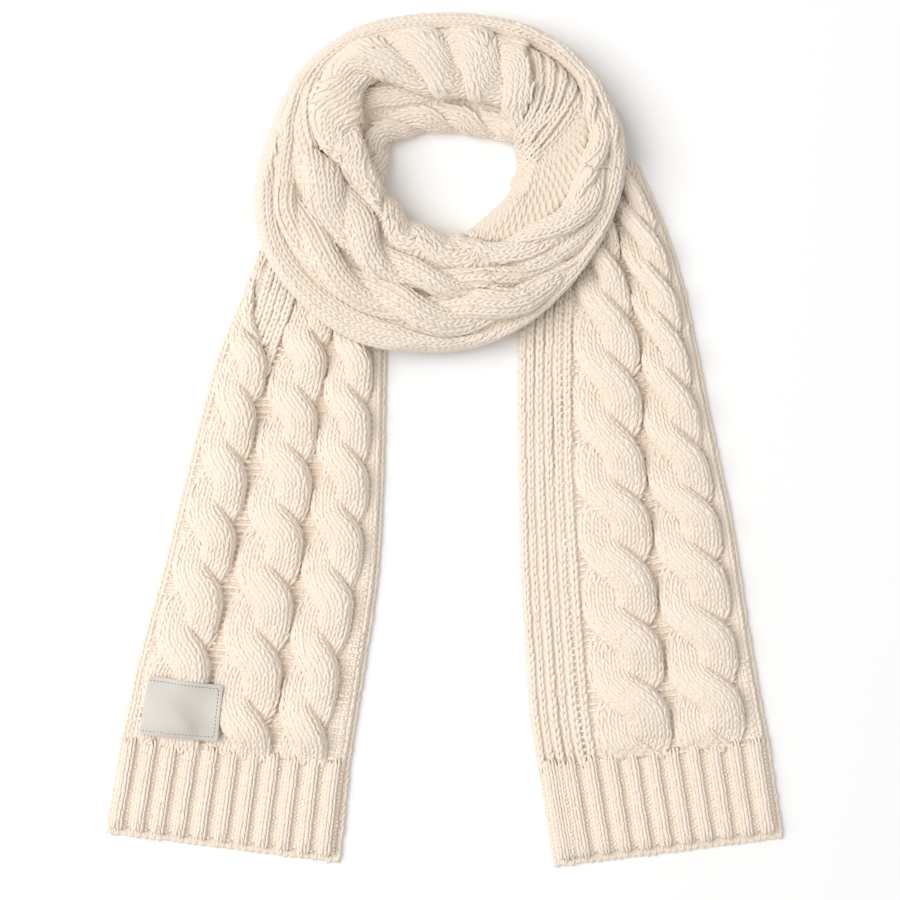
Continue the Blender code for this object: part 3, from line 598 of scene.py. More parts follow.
rightTail = {
    "name": "right",
    "rows": (
        (0.271, -0.500, 0.0685, 0.1045, 0.1365, 0.1665, 0.1725),
        (0.216, -0.500, 0.0685, 0.1095, 0.1505, 0.1915, 0.1975),
        (0.160, -0.420, 0.0685, 0.1155, 0.1615, 0.2075, 0.2135),
        (0.107, -0.330, 0.0675, 0.1155, 0.1735, 0.2165, 0.2235),
        (0.047, -0.200, 0.0665, 0.1145, 0.1775, 0.2265, 0.2335),
        (-0.010, -0.100, 0.0665, 0.1155, 0.1795, 0.2365, 0.2435),
        (-0.064, -0.020, 0.0675, 0.1175, 0.1855, 0.2455, 0.2535),
        (-0.124, 0.020, 0.0695, 0.1215, 0.1895, 0.2545, 0.2625),
        (-0.182, 0.070, 0.0735, 0.1255, 0.1955, 0.2615, 0.2705),
        (-0.244, 0.100, 0.0785, 0.1315, 0.2025, 0.2685, 0.2805),
        (-0.282, 0.110, 0.0845, 0.1375, 0.2075, 0.2725, 0.2875),
    ),
    "lanes": ("cords", "cable", "cable", "edge"),
    "crossings": ((-0.378, -2), (-0.321, -1), (-0.264, 0), (-0.206, 1), (-0.149, 2), (-0.090, 3), (-0.035, 4),
                  (0.023, 5), (0.079, 6), (0.133, 7), (0.180, 8), (0.225, 9), (0.271, 10)),
    "hem": ((-0.282, 0.110, 0.0845, 0.2875), (-0.363, 0.128, 0.0985, 0.2995)),
    "low": -0.282, "high": 0.271, "cloth": (0.19, 0.47),
}
tailShape = {
    "frontGrid": (56, 135), "backGrid": (24, 60),
    "tuck": 0.0107,          # how far the tails reach under the neck
    "under": 0.003,          # how far the rows run on under the hem
    "shoulder": 0.03, "edgeShare": 0.45, "edgeRise": 0.0008, "backEdge": 0.004, "backRim": 0.0012,
    "hides": 0.004,          # cables higher than this hide the purl bars
    "hemFade": (0.024, 0.22),
    # columns of purl bars beside a ditch: place across, width and lift
    "ditch": ((0.0, 1.2, 0.0004), (0.0052, 1.1, 0.0016), (-0.0052, 1.1, 0.0016), (0.0100, 1.0, 0.0022),
              (-0.0100, 1.0, 0.0022)),
    # the long smooth cords of the plain band, as shares of its width
    "cords": ((0.00, 0.15), (0.15, 0.30), (0.30, 0.48), (0.48, 0.64), (0.64, 0.82), (0.82, 1.00)),
    # the ribs that show between two cables of the left tail
    "ribPitch": 0.0082, "ribDepth": 0.0034,
}


def tailEdges(tail, t):
    return [curve(tail["rows"], t, column) for column in range(2, len(tail["rows"][0]))]


def tailPlan(tail, t, x):
    edges = tailEdges(tail, t)
    return t + curve(tail["rows"], t, 1) * (x - (edges[0] + edges[-1]) / 2)


def fadeToHem(tail, t):
    # Cables sink into the ribs of the hem
    reach, least = tailShape["hemFade"]
    share = np.clip((t - tail["low"]) / reach, 0, 1)
    return least + (1 - least) * np.sin(math.pi / 2 * share) ** 1.5


def frontTop(shoulder, rim=1.0):
    # Top of the plain knitting of the front layer, thinner at its edges
    full = tailShape["edgeShare"] + (1 - tailShape["edgeShare"]) * shoulder
    return frontFloor + knit["thick"] * full * rim


def tailGround(tail, t, x):
    # Plain knitting of the front layer, rounding down at both edges
    edges = tailEdges(tail, t)
    share = (x - edges[0]) / (edges[-1] - edges[0])
    shoulder = rounded(np.minimum(share, 1 - share), tailShape["shoulder"])
    return frontTop(shoulder), shoulder


def laneOf(tail, lane, t):
    # Edges of a lane, and how high its cable stands: lower where the lane is narrow
    left, right = tailEdges(tail, t)[lane:lane + 2]
    return left, right, np.minimum(1, (right - left) / knit["cableRoom"])


def tailRelief(tail, t, x, kinds=("cable", "cords", "ribs", "edge")):
    # How high the pattern stands over the plain cloth at a place
    high = np.zeros_like(x)
    for lane, kind in enumerate(tail["lanes"]):
        if kind not in kinds:
            continue
        left, right, stands = laneOf(tail, lane, t)
        part = (x - left) / (right - left)
        if kind == "cable":
            shape = rope(tailRope, 2 * part - 1, curve(tail["crossings"], t)) * stands
        elif kind == "cords":
            shape = 0 * part
            for start, end in tailShape["cords"]:
                place = np.clip((part - start) / (end - start), 0, 1)
                shape = np.maximum(shape, knit["chainRise"] * np.sqrt(np.sin(math.pi * place)))
        elif kind == "ribs":
            # counted from the right, fading in where there is room for them
            fold = np.abs(np.sin(math.pi * (right - x) / tailShape["ribPitch"]))
            shape = tailShape["ribDepth"] * fold * np.clip((right - x) / 0.002, 0, 1)
            shape = shape * np.clip((right - left - 0.004) / 0.004, 0, 1)
        else:
            shape = tailShape["edgeRise"] * np.sin(math.pi * np.clip(part, 0, 1))
        high = np.where((x >= left) & (x <= right), shape, high)
    return high


def untucked(here):
    return neckDepth(here[:, 0], here[:, 1]) < tailShape["tuck"] + 0.004


def tailStrands(tail, lane):
    # Stitches of one cable, without those that its other strand hides
    def strand(side, t, w):
        # Place w across one strand, square to its run at t
        turn = math.pi * curve(tail["crossings"], t)
        centre, slope = strandLine(tailRope, turn, side)
        aside = tailRope["width"] * w / np.sqrt(1 + slope ** 2)
        rate = (curve(tail["crossings"], t + 0.002) - curve(tail["crossings"], t - 0.002)) / 0.004
        row = t - tailRope["pace"] * slope * aside / np.maximum(rate, 10)
        left, right, stands = laneOf(tail, lane, row)
        x = (left + right) / 2 + (right - left) / 2 * (centre + aside)
        ground, shoulder = tailGround(tail, row, x)
        body = strandRise(turn, side) * strandBody(tailRope, w)
        rise = body * shoulder * stands * fadeToHem(tail, row) - knit["sink"]
        over = body - strandHeight(tailRope, centre + aside, curve(tail["crossings"], row), -side)
        return at(x, tailPlan(tail, row, x), ground + rise), over, row

    def room(t):
        left, right, stands = laneOf(tail, lane, t)
        return (right - left) / 2, math.pi * curve(tail["crossings"], t), stands

    def shows(t, here, row):
        return untucked(here) & (row > tail["low"] - 0.001)
    span = tail["low"] - 0.04, tail["high"]
    return coverStrands(tailRope, strand, room, span, 0.5, probe["tailStrand"], shows)


def tailColumn(tail, xAt, stitch, spacing=1.0, rise=0.0, z=None, shows=None, **look):
    # A column of stitches along a tail, at the place that xAt gives
    def surface(t, w):
        x = xAt(tailEdges(tail, t)) + w
        ground, shoulder = tailGround(tail, t, x)
        return at(x, tailPlan(tail, t, x), ground - knit["sink"] + rise * shoulder if z is None else z)

    def keep(t, here):
        return untucked(here) & (shows is None or shows(tailEdges(tail, t), t, here[:, 0]))
    span = tail["low"] - tailShape["under"], tail["high"]
    return stitchLine(surface, stitch, span, knit["row"] * spacing, probe["tail"], keep, **look)


def laneColumn(tail, edge, way, distance, stitch, spacing=1.0, rise=0.0, size=(1, 1, 1)):
    # A column at a distance from an edge of a lane, where the lane is wide enough
    def shows(edges, t, x):
        return distance < np.abs(edges[edge + way] - edges[edge]) + 0.001
    return tailColumn(tail, lambda edges: edges[edge] + way * distance, stitch, spacing, rise, shows=shows,
                      lift=0.0003, size=size)


def ditchColumn(tail, line, offset, wide, lift):
    # Purl bars beside a ditch, where no cable covers them
    def shows(edges, t, x):
        inside = (x > edges[0] + 0.0045) & (x < edges[-1] - 0.0045)
        return inside & (tailRelief(tail, t, x, ("cable",)) < tailShape["hides"])
    return tailColumn(tail, lambda edges: edges[line] + offset, purlBar, 0.98, shows=shows, lift=lift,
                      size=(wide, 1.1, 1.1), wobble=2.4)


def cordColumn(tail, start, end):
    # One smooth cord of long stitches
    def xAt(edges):
        return edges[0] + (start + end) / 2 * (edges[1] - edges[0])
    return tailColumn(tail, xAt, chainV, 1.2, knit["chainRise"], lift=0.0002, wobble=1.3,
                      size=((end - start) / 0.15, 1, 1))


def wallColumn(tail, edge, z, tilt):
    # A column of stitches on the side of a tail, facing outwards
    out = 1 if edge else -1

    def surface(t, w):
        x = tailEdges(tail, t)[edge] + out * 0.0002
        return at(x, tailPlan(tail, t, x), z)
    t = rowsAlong(surface, tail["low"] - tailShape["under"], tail["high"], knit["row"])
    along = unit(surface(t + 0.002, 0) - surface(t - 0.002, 0))
    upward = unit(unit(np.cross(along, upright)) * out * math.cos(tilt) + upright * math.sin(tilt))
    here = surface(t, 0)
    return placeStitches(ribV, (here, along, upward), untucked(here), -0.0006, (0.85, 1, 0.8))


def tailGrid(tail, grid, extra):
    # Rows and columns of a layer, up to where each column is tucked under the neck
    def place(t, share):
        edges = tailEdges(tail, t)
        left, right = edges[0], edges[-1] + extra
        yLeft, yRight = tailPlan(tail, t, left), tailPlan(tail, t, edges[-1])
        return left + share * (right - left), yLeft + share * (yRight - yLeft)

    shares = np.linspace(0, 1, grid[0] + 1)
    tests = np.linspace(tail["low"], tail["high"], 400)
    ends = []
    for share in shares:
        inside = np.nonzero(neckDepth(*place(tests, share)) > tailShape["tuck"])[0]
        ends.append(tests[inside[0]] if len(inside) else tail["high"])
    low = tail["low"] + knit["seam"] / 2
    t = low + (np.array(ends)[None] - low) * np.linspace(0, 1, grid[1] + 1)[:, None]
    share = np.broadcast_to(shares[None], t.shape)
    return t, share, *place(t, share)


def flatBack(node, share, end, x, y):
    # The plain back layer of a tail or hem, thinner at its rim
    rim = np.where((share == 0) | (share == 1) | end, tailShape["backRim"], 0.0)
    return buildCloth(node, at(x, y, knit["thick"] - rim), at(x, y, 0.0)[:, ::4], groundWool)


def tailFront(tail):
    name = "tail_%s_front" % tail["name"]
    t, _, x, y = tailGrid(tail, tailShape["frontGrid"], 0.0)
    ground, shoulder = tailGround(tail, t, x)
    relief = tailRelief(tail, t, x)
    filled = knit["tailFill"] * np.clip(relief / 0.006, 0, 1)
    top = at(x, y, ground + relief * shoulder * fadeToHem(tail, t) - knit["sink"] + filled)
    cloth = buildCloth(name, top, at(x, y, frontFloor)[:, ::4], groundWool)

    lanes, last = tail["lanes"], len(tail["lanes"])
    yarns = [buildYarn("%s_yarn_%d" % (name, lane), tailStrands(tail, lane), yarnWool)
             for lane in range(last) if lanes[lane] == "cable"]
    batches = [ditchColumn(tail, line, *ditch) for line in range(1, last) for ditch in tailShape["ditch"]]
    if lanes[0] == "cords":
        batches += [cordColumn(tail, *cord) for cord in tailShape["cords"]]
    else:
        batches += [laneColumn(tail, 0, 1, (i + 0.55) * knit["wale"], knitV) for i in range(2)]
        for i in range(4):
            batches.append(laneColumn(tail, 3, -1, (i + 0.5) * tailShape["ribPitch"], chainV,
                                      rise=tailShape["ribDepth"] + 0.0002, size=(1.25, 1, 1)))
            batches.append(laneColumn(tail, 3, -1, (i + 1.0) * tailShape["ribPitch"], purlBar, 0.7, 0.0018,
                                      (0.6, 1, 1)))
    batches += [laneColumn(tail, last, -1, (i + 0.55) * knit["wale"], knitV) for i in range(3)]
    batches += [wallColumn(tail, edge, frontFloor + 0.0012, 0.35) for edge in (0, last)]
    yarns.append(buildYarn(name + "_yarn_plain", batches, yarnWool))


def tailBack(tail):
    name = "tail_%s_back" % tail["name"]
    _, share, x, y = tailGrid(tail, tailShape["backGrid"], tailShape["backEdge"])
    cloth = flatBack(name, share, False, x, y)
    batches = [tailColumn(tail, lambda edges: edges[-1] + 0.0016, ribV, z=0.0032, size=(0.9, 1, 0.8)),
               wallColumn(tail, 0, 0.0022, 0.1)]
    yarn = buildYarn(name + "_yarn", batches, yarnWool)


# ---- hems

# Columns of each rib and of the valley beside it: place in the pitch of a rib, stitch,
# lift and size. The ribs run on a little way up into the cables.
hemShape = {
    "ribs": 11, "drop": 0.007, "scallop": 0.0016, "runOn": 0.06, "rimShare": 0.55, "sink": 0.00048,
    # distance between the rows, in rows of plain knitting, and how uneven they are
    "cord": (0.96, 1.0), "bar": (0.62, 2.0),
    "columns": ((-0.175, cordV, 0.0002, (0.98, 1.0, 0.8)), (0.125, cordV, 0.0008, (0.95, 1.0, 1.0)),
                (0.40, purlBar, 0.0003, (0.55, 1.0, 0.9)), (-0.42, purlBar, 0.0003, (0.55, 1.0, 0.9))),
    # cast-off loops at the end of each rib: place in its pitch, level and depth
    "rim": ((-0.26, 0.985, 0.0006), (-0.02, 0.992, 0.0004), (0.22, 0.985, 0.0006), (-0.14, 1.004, 0.0022),
            (0.12, 1.004, 0.0022)),
}


def hemPlan(tail, share, level, drop=0.0):
    (yTop, slopeTop, leftTop, rightTop), (yLow, slopeLow, leftLow, rightLow) = tail["hem"]
    left = leftTop + (leftLow - leftTop) * level
    right = rightTop + (rightLow - rightTop) * level
    x = left + share * (right - left)
    slope = slopeTop + (slopeLow - slopeTop) * level
    start = yTop - knit["seam"] / 2
    return x, start + (yLow - start) * level + slope * (x - (left + right) / 2) + drop


def ribCrest(tail, share):
    # Height of the ribs, 0 to 1. Beside the folded edge of the right hem two are joined
    count = share * hemShape["ribs"]
    joined = (count > 0.5) & (count < 1.5) & (tail["name"] == "right")
    return np.where(joined, 1.0, np.sin(math.pi * count) ** 2)


def hemHeight(tail, share, level):
    shoulder = rounded(np.minimum(share, 1 - share), tailShape["shoulder"])
    rim = np.interp(level, (0.95, 1.0), (1.0, hemShape["rimShare"]))
    ribs = knit["ribRise"] * ribCrest(tail, share) * shoulder * rim
    return frontTop(shoulder, rim) + ribs - hemShape["sink"]


def hemGrid(wide, levels):
    return np.broadcast_arrays(np.linspace(0, 1, wide + 1)[None], np.append(levels, 1.0)[:, None])


def hemFront(tail):
    name, ribs = "hem_%s_front" % tail["name"], hemShape["ribs"]
    share, level = hemGrid(ribs * 8, np.append(np.linspace(0, 0.94, 16), 0.97))
    drawn = hemShape["scallop"] * (1 - ribCrest(tail, share))
    x, y = hemPlan(tail, share, level, np.where(level == 1.0, drawn, 0.0))
    top = at(x, y, hemHeight(tail, share, level))
    cloth = buildCloth(name, top, at(x, y, frontFloor)[:, ::8], groundWool)

    batches = []
    for rib in range(ribs):
        def column(offset):
            share = (rib + 0.5 + offset) / ribs
            return lambda t, w: at(*hemPlan(tail, share + w, t), hemHeight(tail, share + w, t))

        for offset, stitch, lift, size in hemShape["columns"]:
            if stitch is purlBar and tail["name"] == "right" and rib == 0 and offset > 0:
                stitch, size = cordV, (1, 1, 0.8)
            spacing, wobble = hemShape["cord" if stitch is cordV else "bar"]
            start = -hemShape["runOn"] * (0.4 + 0.6 * dice.random())
            t = rowsAlong(column(offset), 1.0, start, knit["row"] * spacing)
            if offset < 0:
                t = t[:-1] + np.diff(t) / 2
            frames = framesAt(column(offset), t, t * 0, *probe["hem"])
            batches.append(placeStitches(stitch, frames, lift=lift, size=size, wobble=wobble))
        for offset, level, lower in hemShape["rim"]:
            here, along, upward = framesAt(column(offset), np.array([level]), np.zeros(1), *probe["hem"])
            frames = here - upward * lower, unit(along + upward), unit(upward - along)
            batches.append(placeStitches(purlBar, frames, size=(0.95, 1.0, 1.1), wobble=1.6))
    yarn = buildYarn(name + "_yarn", batches, yarnWool)


def hemBack(tail):
    name, drop, out = "hem_%s_back" % tail["name"], -hemShape["drop"], tailShape["backEdge"]
    share, level = hemGrid(44, np.linspace(0, 0.96, 12))
    x, y = hemPlan(tail, share, level, drop * level)
    cloth = flatBack(name, share, level == 1, x + out * share, y)

    def rim(t, w):
        x, y = hemPlan(tail, t, 1.0 + 0 * t, drop + w)
        return at(x + out * t, y, 0.0032)

    def edge(t, w):
        x, y = hemPlan(tail, 1.0 + 0 * t, t, drop * t)
        return at(x + out * 0.45 + w, y, 0.0034)

    count = hemShape["ribs"] * 3
    t = (np.arange(count) + 0.5) / count
    along = unit(rim(t + 0.01, 0) - rim(t - 0.01, 0))
    upward = np.tile(upright, (count, 1))
    ahead = np.cross(upward, along)
    lower = rim(t, 0.0008) - 0.0008 * upright, upward, unit(-ahead + 0.3 * upward)
    batches = [placeStitches(ribV, (rim(t, 0.004), ahead, upward), size=(1, 1, 0.9), wobble=2.5),
               placeStitches(purlBar, lower, size=(1.05, 0.95, 0.9), wobble=3.0)]
    t = rowsAlong(edge, 0.98, 0.0, knit["row"])
    frames = framesAt(edge, t, t * 0, -0.02, 0.001)
    batches.append(placeStitches(ribV, frames, size=(1, 1, 0.9), wobble=1.4))
    yarn = buildYarn(name + "_yarn", batches, yarnWool)


# ---- neck

def coreReach(angle):
    # Inner and outer radius of the hidden layers, which reach further in where they show
    shows = np.interp(np.mod(angle, 360), (26, 40, 176, 200), (0, 1, 1, 0))
    return openingRadius(angle) + neck["coreStep"] * (1 - shows), outlineRadius(angle) - neck["coreInset"]


def coreTop(angle, radius):
    inner, outer = coreReach(angle)
    share = (radius - inner) / (outer - inner)
    arch = (1 - np.abs(2 * np.clip(share, 0, 1) - 1) ** 3.0) ** 0.5
    height = neck["coreLip"] + (neck["coreCrown"] - neck["coreLip"]) * arch
    return np.where((share <= 0) | (share >= 1), 0.0, height)


def floorHeight(angle, radius):
    # Height of what the folds lie on
    foot = straight(neck["foot"], np.mod(angle - 10, 360) + 10)
    near = outlineRadius(angle) - radius < 0.020
    lowest = np.where(near & (foot > 0), foot + 0.0005, 0.0)
    around = [(turn, out) for turn in (-2, 0, 2) for out in (-0.002, 0, 0.002)]
    under = np.max([coreTop(angle + turn, radius + out) for turn, out in around], axis=0)
    return np.maximum(lowest, np.where(under > 0, under + neck["clear"], 0.0))


def foldHeight(stretch, angle, radius, radii):
    lowest = floorHeight(angle, radius)
    edge = lowest + knit["edge"]
    width = radii[-1] - radii[0]
    lowSide = straight(stretch.get("lowSide", ((0, 0.0),)), angle)
    lowered = lowSide * np.maximum(0.0, (radius - radii[0]) / width - 0.45) / 0.55
    full = straight(stretch["crown"], angle) - lowered
    height = full - edge
    for distance, side in ((radius - radii[0], "archIn"), (radii[-1] - radius, "archOut")):
        share, least, most, widest = neckShape[side]
        reach = np.minimum(np.clip(share * (full - edge), least, most), width * widest)
        height = height * rounded(distance, reach)
    height = edge + height
    for line, depth in zip(radii[1:-1], stretch["depths"](angle)):
        height = height - depth * np.exp(-np.abs(radius - line) / neckShape["creaseWide"])
    return np.maximum(height, edge), lowest


def frontLines(angle):
    inner = curve(neck["innerEdge"], angle)
    if angle > 284:
        inner = curve(neck["turnCrease"], angle - 360) + knit["seam"] / 2
    creases = [curve(neck[key], angle) for key in ("turnCrease", "frontCrease", "lowerCrease")]
    return [inner, *creases, outlineRadius(angle)]


def frontDepths(angle):
    turn = straight(((165, 0.013), (190, 0.009), (215, 0.005), (250, 0.003)), angle)
    return [turn, curve(neck["frontCrease"], angle, 2), curve(neck["lowerCrease"], angle, 2)]


def outerLines(angle):
    inner, outer = curve(neck["turnCrease"], angle) + knit["seam"] / 2, outlineRadius(angle)
    first = straight(((5, 0.557), (30, 0.46), (90, 0.42), (140, 0.44), (165, 0.48)), angle)
    second = straight(((5, 0.81), (30, 0.74), (90, 0.72), (140, 0.72), (165, 0.722)), angle)
    return [inner, inner + first * (outer - inner), inner + second * (outer - inner), outer]


def innerLines(angle):
    return [curve(neck["innerEdge"], angle), curve(neck["turnCrease"], angle) - knit["seam"] / 2]


def coreLines(angle):
    inner = coreReach(angle)[0]
    return [inner, inner + 0.023, inner + 0.060]


# Each stretch: creases and their depths, height, and its lanes. Each lane: angle and
# number of crossings so far, angle and strength of its cable, and whether its plain
# columns are counted from its outer side.
stretches = {
    "neck_front": {
        "range": (165.1, 364.9), "lines": frontLines, "depths": frontDepths, "cloth": (0.19, 0.38),
        "crown": ((165, 0.044),),
        "lowSide": ((165, 0.0), (200, 0.0), (240, 0.006), (300, 0.012), (340, 0.006), (365, 0.0)),
        "lanes": (
            {"turns": ((165, -4.2), (190, -5.0), (230, -6.0), (275, -7.0), (320, -8.0), (365, -9.4)),
             "strength": ((165, 0.3), (180, 0.45), (240, 0.45), (280, 0.3), (310, 0.3), (335, 0.5),
                          (365, 0.6))},
            {"turns": ((165, -0.2), (200, -1.0), (242, -2.0), (285, -3.0), (330, -4.0), (365, -5.0)),
             "strength": ((165, 0.0), (176, 0.8), (300, 0.7), (320, 0.2), (340, 0.0))},
            {"turns": ((165, 0.3), (181, -0.5), (219, -1.5), (257, -2.5), (294, -3.5), (330, -4.5),
                       (365, -5.5)),
             "strength": ((178, 0.0), (190, 0.8), (305, 0.8), (325, 0.3), (345, 0.0)), "fromOuter": True},
            {"turns": ((165, 0.0), (365, -5.0)), "strength": ((165, 0.0),), "fromOuter": True},
        ),
    },
    "neck_back_outer": {
        "range": (5.1, 164.9), "lines": outerLines, "cloth": (0.05, 0.42),
        "depths": lambda angle: [np.interp(angle, (5, 120, 165), (0.002, 0.003, 0.004))] * 2,
        "crown": ((5, 0.044), (30, 0.041), (90, 0.038), (140, 0.040), (165, 0.044)),
        "lanes": (
            {"turns": ((5, -9.4), (22, -10.2), (40, -11.1), (165, -17)), "strength": ((25, 0.6), (40, 0.0))},
            {"turns": ((5, 0.3), (20, -0.7), (36, -1.7), (52, -2.7), (165, -9)),
             "strength": ((5, 0.0), (12, 0.5), (60, 0.5), (75, 0.0))},
            {"turns": ((5, 0.0), (165, -9)), "strength": ((5, 0.0),), "fromOuter": True},
        ),
    },
    "neck_back_inner": {
        "range": (-66.0, 164.9), "lines": innerLines, "depths": lambda angle: [], "cloth": (0.08, 0.40),
        "crown": ((-66, 0.030), (-30, 0.035), (0, 0.040), (40, 0.044)), "sweeps": True,
        "lanes": (
            {"turns": ((-66, 5.5), (54, 0.5), (76, -0.5), (98, -1.5), (122, -2.5), (146, -3.45), (165, -4.2)),
             "strength": ((-66, 0.0), (35, 0.6), (145, 0.6), (165, 0.3)), "rope": innerRope},
        ),
    },
    "neck_hidden_layers": {
        "range": (0.0, 360.0), "shows": (22.0, 204.0), "columns": 3, "lines": coreLines,
        "lanes": (
            {"turns": ((0, 0.6), (204, -5.5), (360, -10.0)),
             "strength": ((14, 0.0), (30, 0.4), (196, 0.4), (212, 0.0)), "rope": innerRope},
            {"turns": ((0, 0.0), (204, -4.0), (360, -8.0)),
             "strength": ((22, 0.0), (60, 0.3), (150, 0.3), (204, 0.0))},
        ),
        # where its side shows under the folds, and the heights of its rows of stitches
        "sides": ((164.0, 190.0), (236.0, 300.0), (352.0, 388.0)), "rows": (0.0035, 0.0098, 0.0160, 0.0215),
        "fill": 0.6,
    },
}
neckShape = {
    "step": 1.5, "across": 96, "samples": 160,
    # how far the arch of a fold reaches in from its inner and outer edge: share of its
    # height, least, most, and most as a share of its width
    "archIn": (0.5, 0.007, 0.020, 0.45), "archOut": (0.6, 0.007, 0.026, 0.5), "creaseWide": 0.0042,
    # cables fade out this near an edge, and have stitches of their own above this strength
    "fade": 0.012, "least": 0.12,
    # plain columns run where a cable is weaker than this, purl bars where it is stronger
    "plainBelow": 0.25, "purlAbove": 0.2, "purlBeside": (0.0045, 0.0095, 0.0145), "hides": 0.003,
}
# The narrow ribs of the inner turn sweep from its outer crease down into the opening.
# They are counted by the angle at which they leave the crease.
sweep = {"cross": 38.0, "ribsFrom": 66.0, "ribsTo": 36.0, "pitch": 6.4, "rise": 0.0028, "step": 0.0022}


def sectionOf(stretch, angle):
    # One section across the cloth: points evenly spaced along it, from the inner to
    # the outer edge, what lies under them, and how far along the creases come
    radii = stretch["lines"](angle)
    radius = np.linspace(radii[0], radii[-1], neckShape["samples"])
    if "crown" in stretch:
        z, lowest = foldHeight(stretch, angle, radius, radii)
        foot = lowest[-1] + 0.0012
    else:
        z, lowest = np.maximum(coreTop(angle, radius), neck["coreLip"]), 0 * radius
        foot = z[-1] + 0.0001
    fullR = np.concatenate([np.full(3, radii[0]), radius, radii[-1] + np.array([0, 1, 2]) * 1e-6])
    wallIn, wallOut = np.linspace(lowest[0] + 0.0012, z[0], 4)[:-1], np.linspace(z[-1], foot, 4)[1:]
    fullZ = np.concatenate([wallIn, z, wallOut])
    run = np.concatenate([[0], np.cumsum(np.hypot(np.diff(fullR), np.diff(fullZ)))])
    even = np.linspace(0, run[-1], neckShape["across"] + 1)
    marks = [np.interp(line, radius, run[3:-3]) / run[-1] for line in radii]
    marks[0], marks[-1] = 0.0, 1.0
    under = np.interp(even, run, np.pad(lowest, 3, mode="edge"))
    return np.interp(even, run, fullR), np.interp(even, run, fullZ), under, marks, run[-1]


def layOut(stretch):
    # The whole stretch as a grid, angle by place across
    start, end = stretch["range"]
    angles = np.linspace(start, end, int(round((end - start) / neckShape["step"])) + 1)
    parts = zip(*[sectionOf(stretch, angle) for angle in angles])
    radius, height, under, marks, girth = [np.array(part) for part in parts]
    points = neckPoint(angles[:, None], radius, height)
    stretch.update(angles=angles, points=points, under=under, marks=marks, girth=girth)


def sampleGrid(stretch, angle, share):
    points, angles = stretch["points"], stretch["angles"]
    i = np.clip((angle - angles[0]) / (angles[1] - angles[0]), 0, len(angles) - 1.0001)
    j = np.clip(share, 0, 0.99999) * neckShape["across"]
    a, b = i.astype(int), j.astype(int)
    u, v = (i - a)[..., None], (j - b)[..., None]
    return ((1 - u) * (1 - v) * points[a, b] + (1 - u) * v * points[a, b + 1]
            + u * (1 - v) * points[a + 1, b] + u * v * points[a + 1, b + 1])


def gridNormal(stretch, angle, share):
    low, high = stretch["angles"][0], stretch["angles"][-1]
    before, after = np.maximum(angle - 1.2, low), np.minimum(angle + 1.2, high)
    along = sampleGrid(stretch, after, share) - sampleGrid(stretch, before, share)
    left, right = np.maximum(share - 0.012, 0), np.minimum(share + 0.012, 1)
    across = sampleGrid(stretch, angle, right) - sampleGrid(stretch, angle, left)
    return unit(np.cross(across, along))


def raised(stretch, angle, share, rise):
    # A place over the smooth form of a stretch
    return sampleGrid(stretch, angle, share) + gridNormal(stretch, angle, share) * rise[..., None]


def shown(stretch, angle):
    low, high = stretch.get("shows", stretch["range"])
    return (angle >= low) & (angle <= high)


def laneAt(stretch, lane, angle):
    # Both sides of a lane as shares across, and the length across there
    low, high, girth = [np.interp(angle, stretch["angles"], values) for values in
                        (stretch["marks"][:, lane], stretch["marks"][:, lane + 1], stretch["girth"])]
    return low, high, girth


def laneStrength(stretch, lane, angle, share):
    # How high the cable of a lane stands: it fades out at the edges of the cloth
    low, high, girth = laneAt(stretch, lane, angle)
    narrow = np.minimum(1, (high - low) * girth / knit["cableRoom"])
    strength = straight(stretch["lanes"][lane]["strength"], angle)
    return strength * narrow * rounded(np.minimum(share, 1 - share) * girth, neckShape["fade"])


def laneTurn(stretch, lane, angle):
    return math.pi * curve(stretch["lanes"][lane]["turns"], angle)


def swept(stretch, angle, share):
    # Whether a place of the inner turn belongs to its sweeping ribs
    return (angle + (1 - share) * sweep["cross"] < sweep["ribsFrom"] + 1.5) & ("sweeps" in stretch)


def plainRelief(stretch, angle, share):
    if "sweeps" not in stretch:
        return 0 * (angle + share)
    place = angle + (1 - share) * sweep["cross"]
    ribs = np.abs(np.sin(math.pi * (place - sweep["ribsFrom"]) / sweep["pitch"]))
    inRibs = np.clip((place - sweep["ribsTo"]) / 3, 0, 1)
    lifted = np.clip((sweep["ribsFrom"] + 1.5 - place) / 1.5, 0, 1) * inRibs
    return lifted * (sweep["step"] + sweep["rise"] * (ribs - 1))


def neckStrands(stretch, lane, cable):
    start, end = stretch["range"]

    def strand(side, angle, w):
        # Place w across one strand, square to its run at an angle
        turn = laneTurn(stretch, lane, angle)
        centre, slope = strandLine(cable, turn, side)
        aside = cable["width"] * w / np.sqrt(1 + slope ** 2)
        rate = (laneTurn(stretch, lane, angle + 1) - laneTurn(stretch, lane, angle - 1)) / (2 * math.pi)
        rate = np.where(np.abs(rate) < 0.008, 0.008 * np.where(rate > 0, 1, -1), rate)
        there = np.clip(angle - np.clip(cable["pace"] * slope * aside / rate, -14, 14), start, end)
        low, high = laneAt(stretch, lane, there)[:2]
        across = centre + aside
        share = (low + high) / 2 + (high - low) / 2 * across
        strength = laneStrength(stretch, lane, there, share)
        body = strandRise(turn, side) * strandBody(cable, w) * strength
        other = strandHeight(cable, across, laneTurn(stretch, lane, there) / math.pi, -side) * strength
        return raised(stretch, there, share, body - knit["sink"]), body - other, there, share, strength

    def room(t):
        low, high, girth = laneAt(stretch, lane, t)
        stands = laneStrength(stretch, lane, t, (low + high) / 2)
        return (high - low) * girth / 2, laneTurn(stretch, lane, t), stands

    def shows(t, here, there, share, strength):
        inside = (share > 0.004) & (share < 0.996) & shown(stretch, t)
        return inside & (strength > neckShape["least"]) & ~swept(stretch, there, share)
    return coverStrands(cable, strand, room, (start, end), 0.1, probe["neckStrand"], shows)


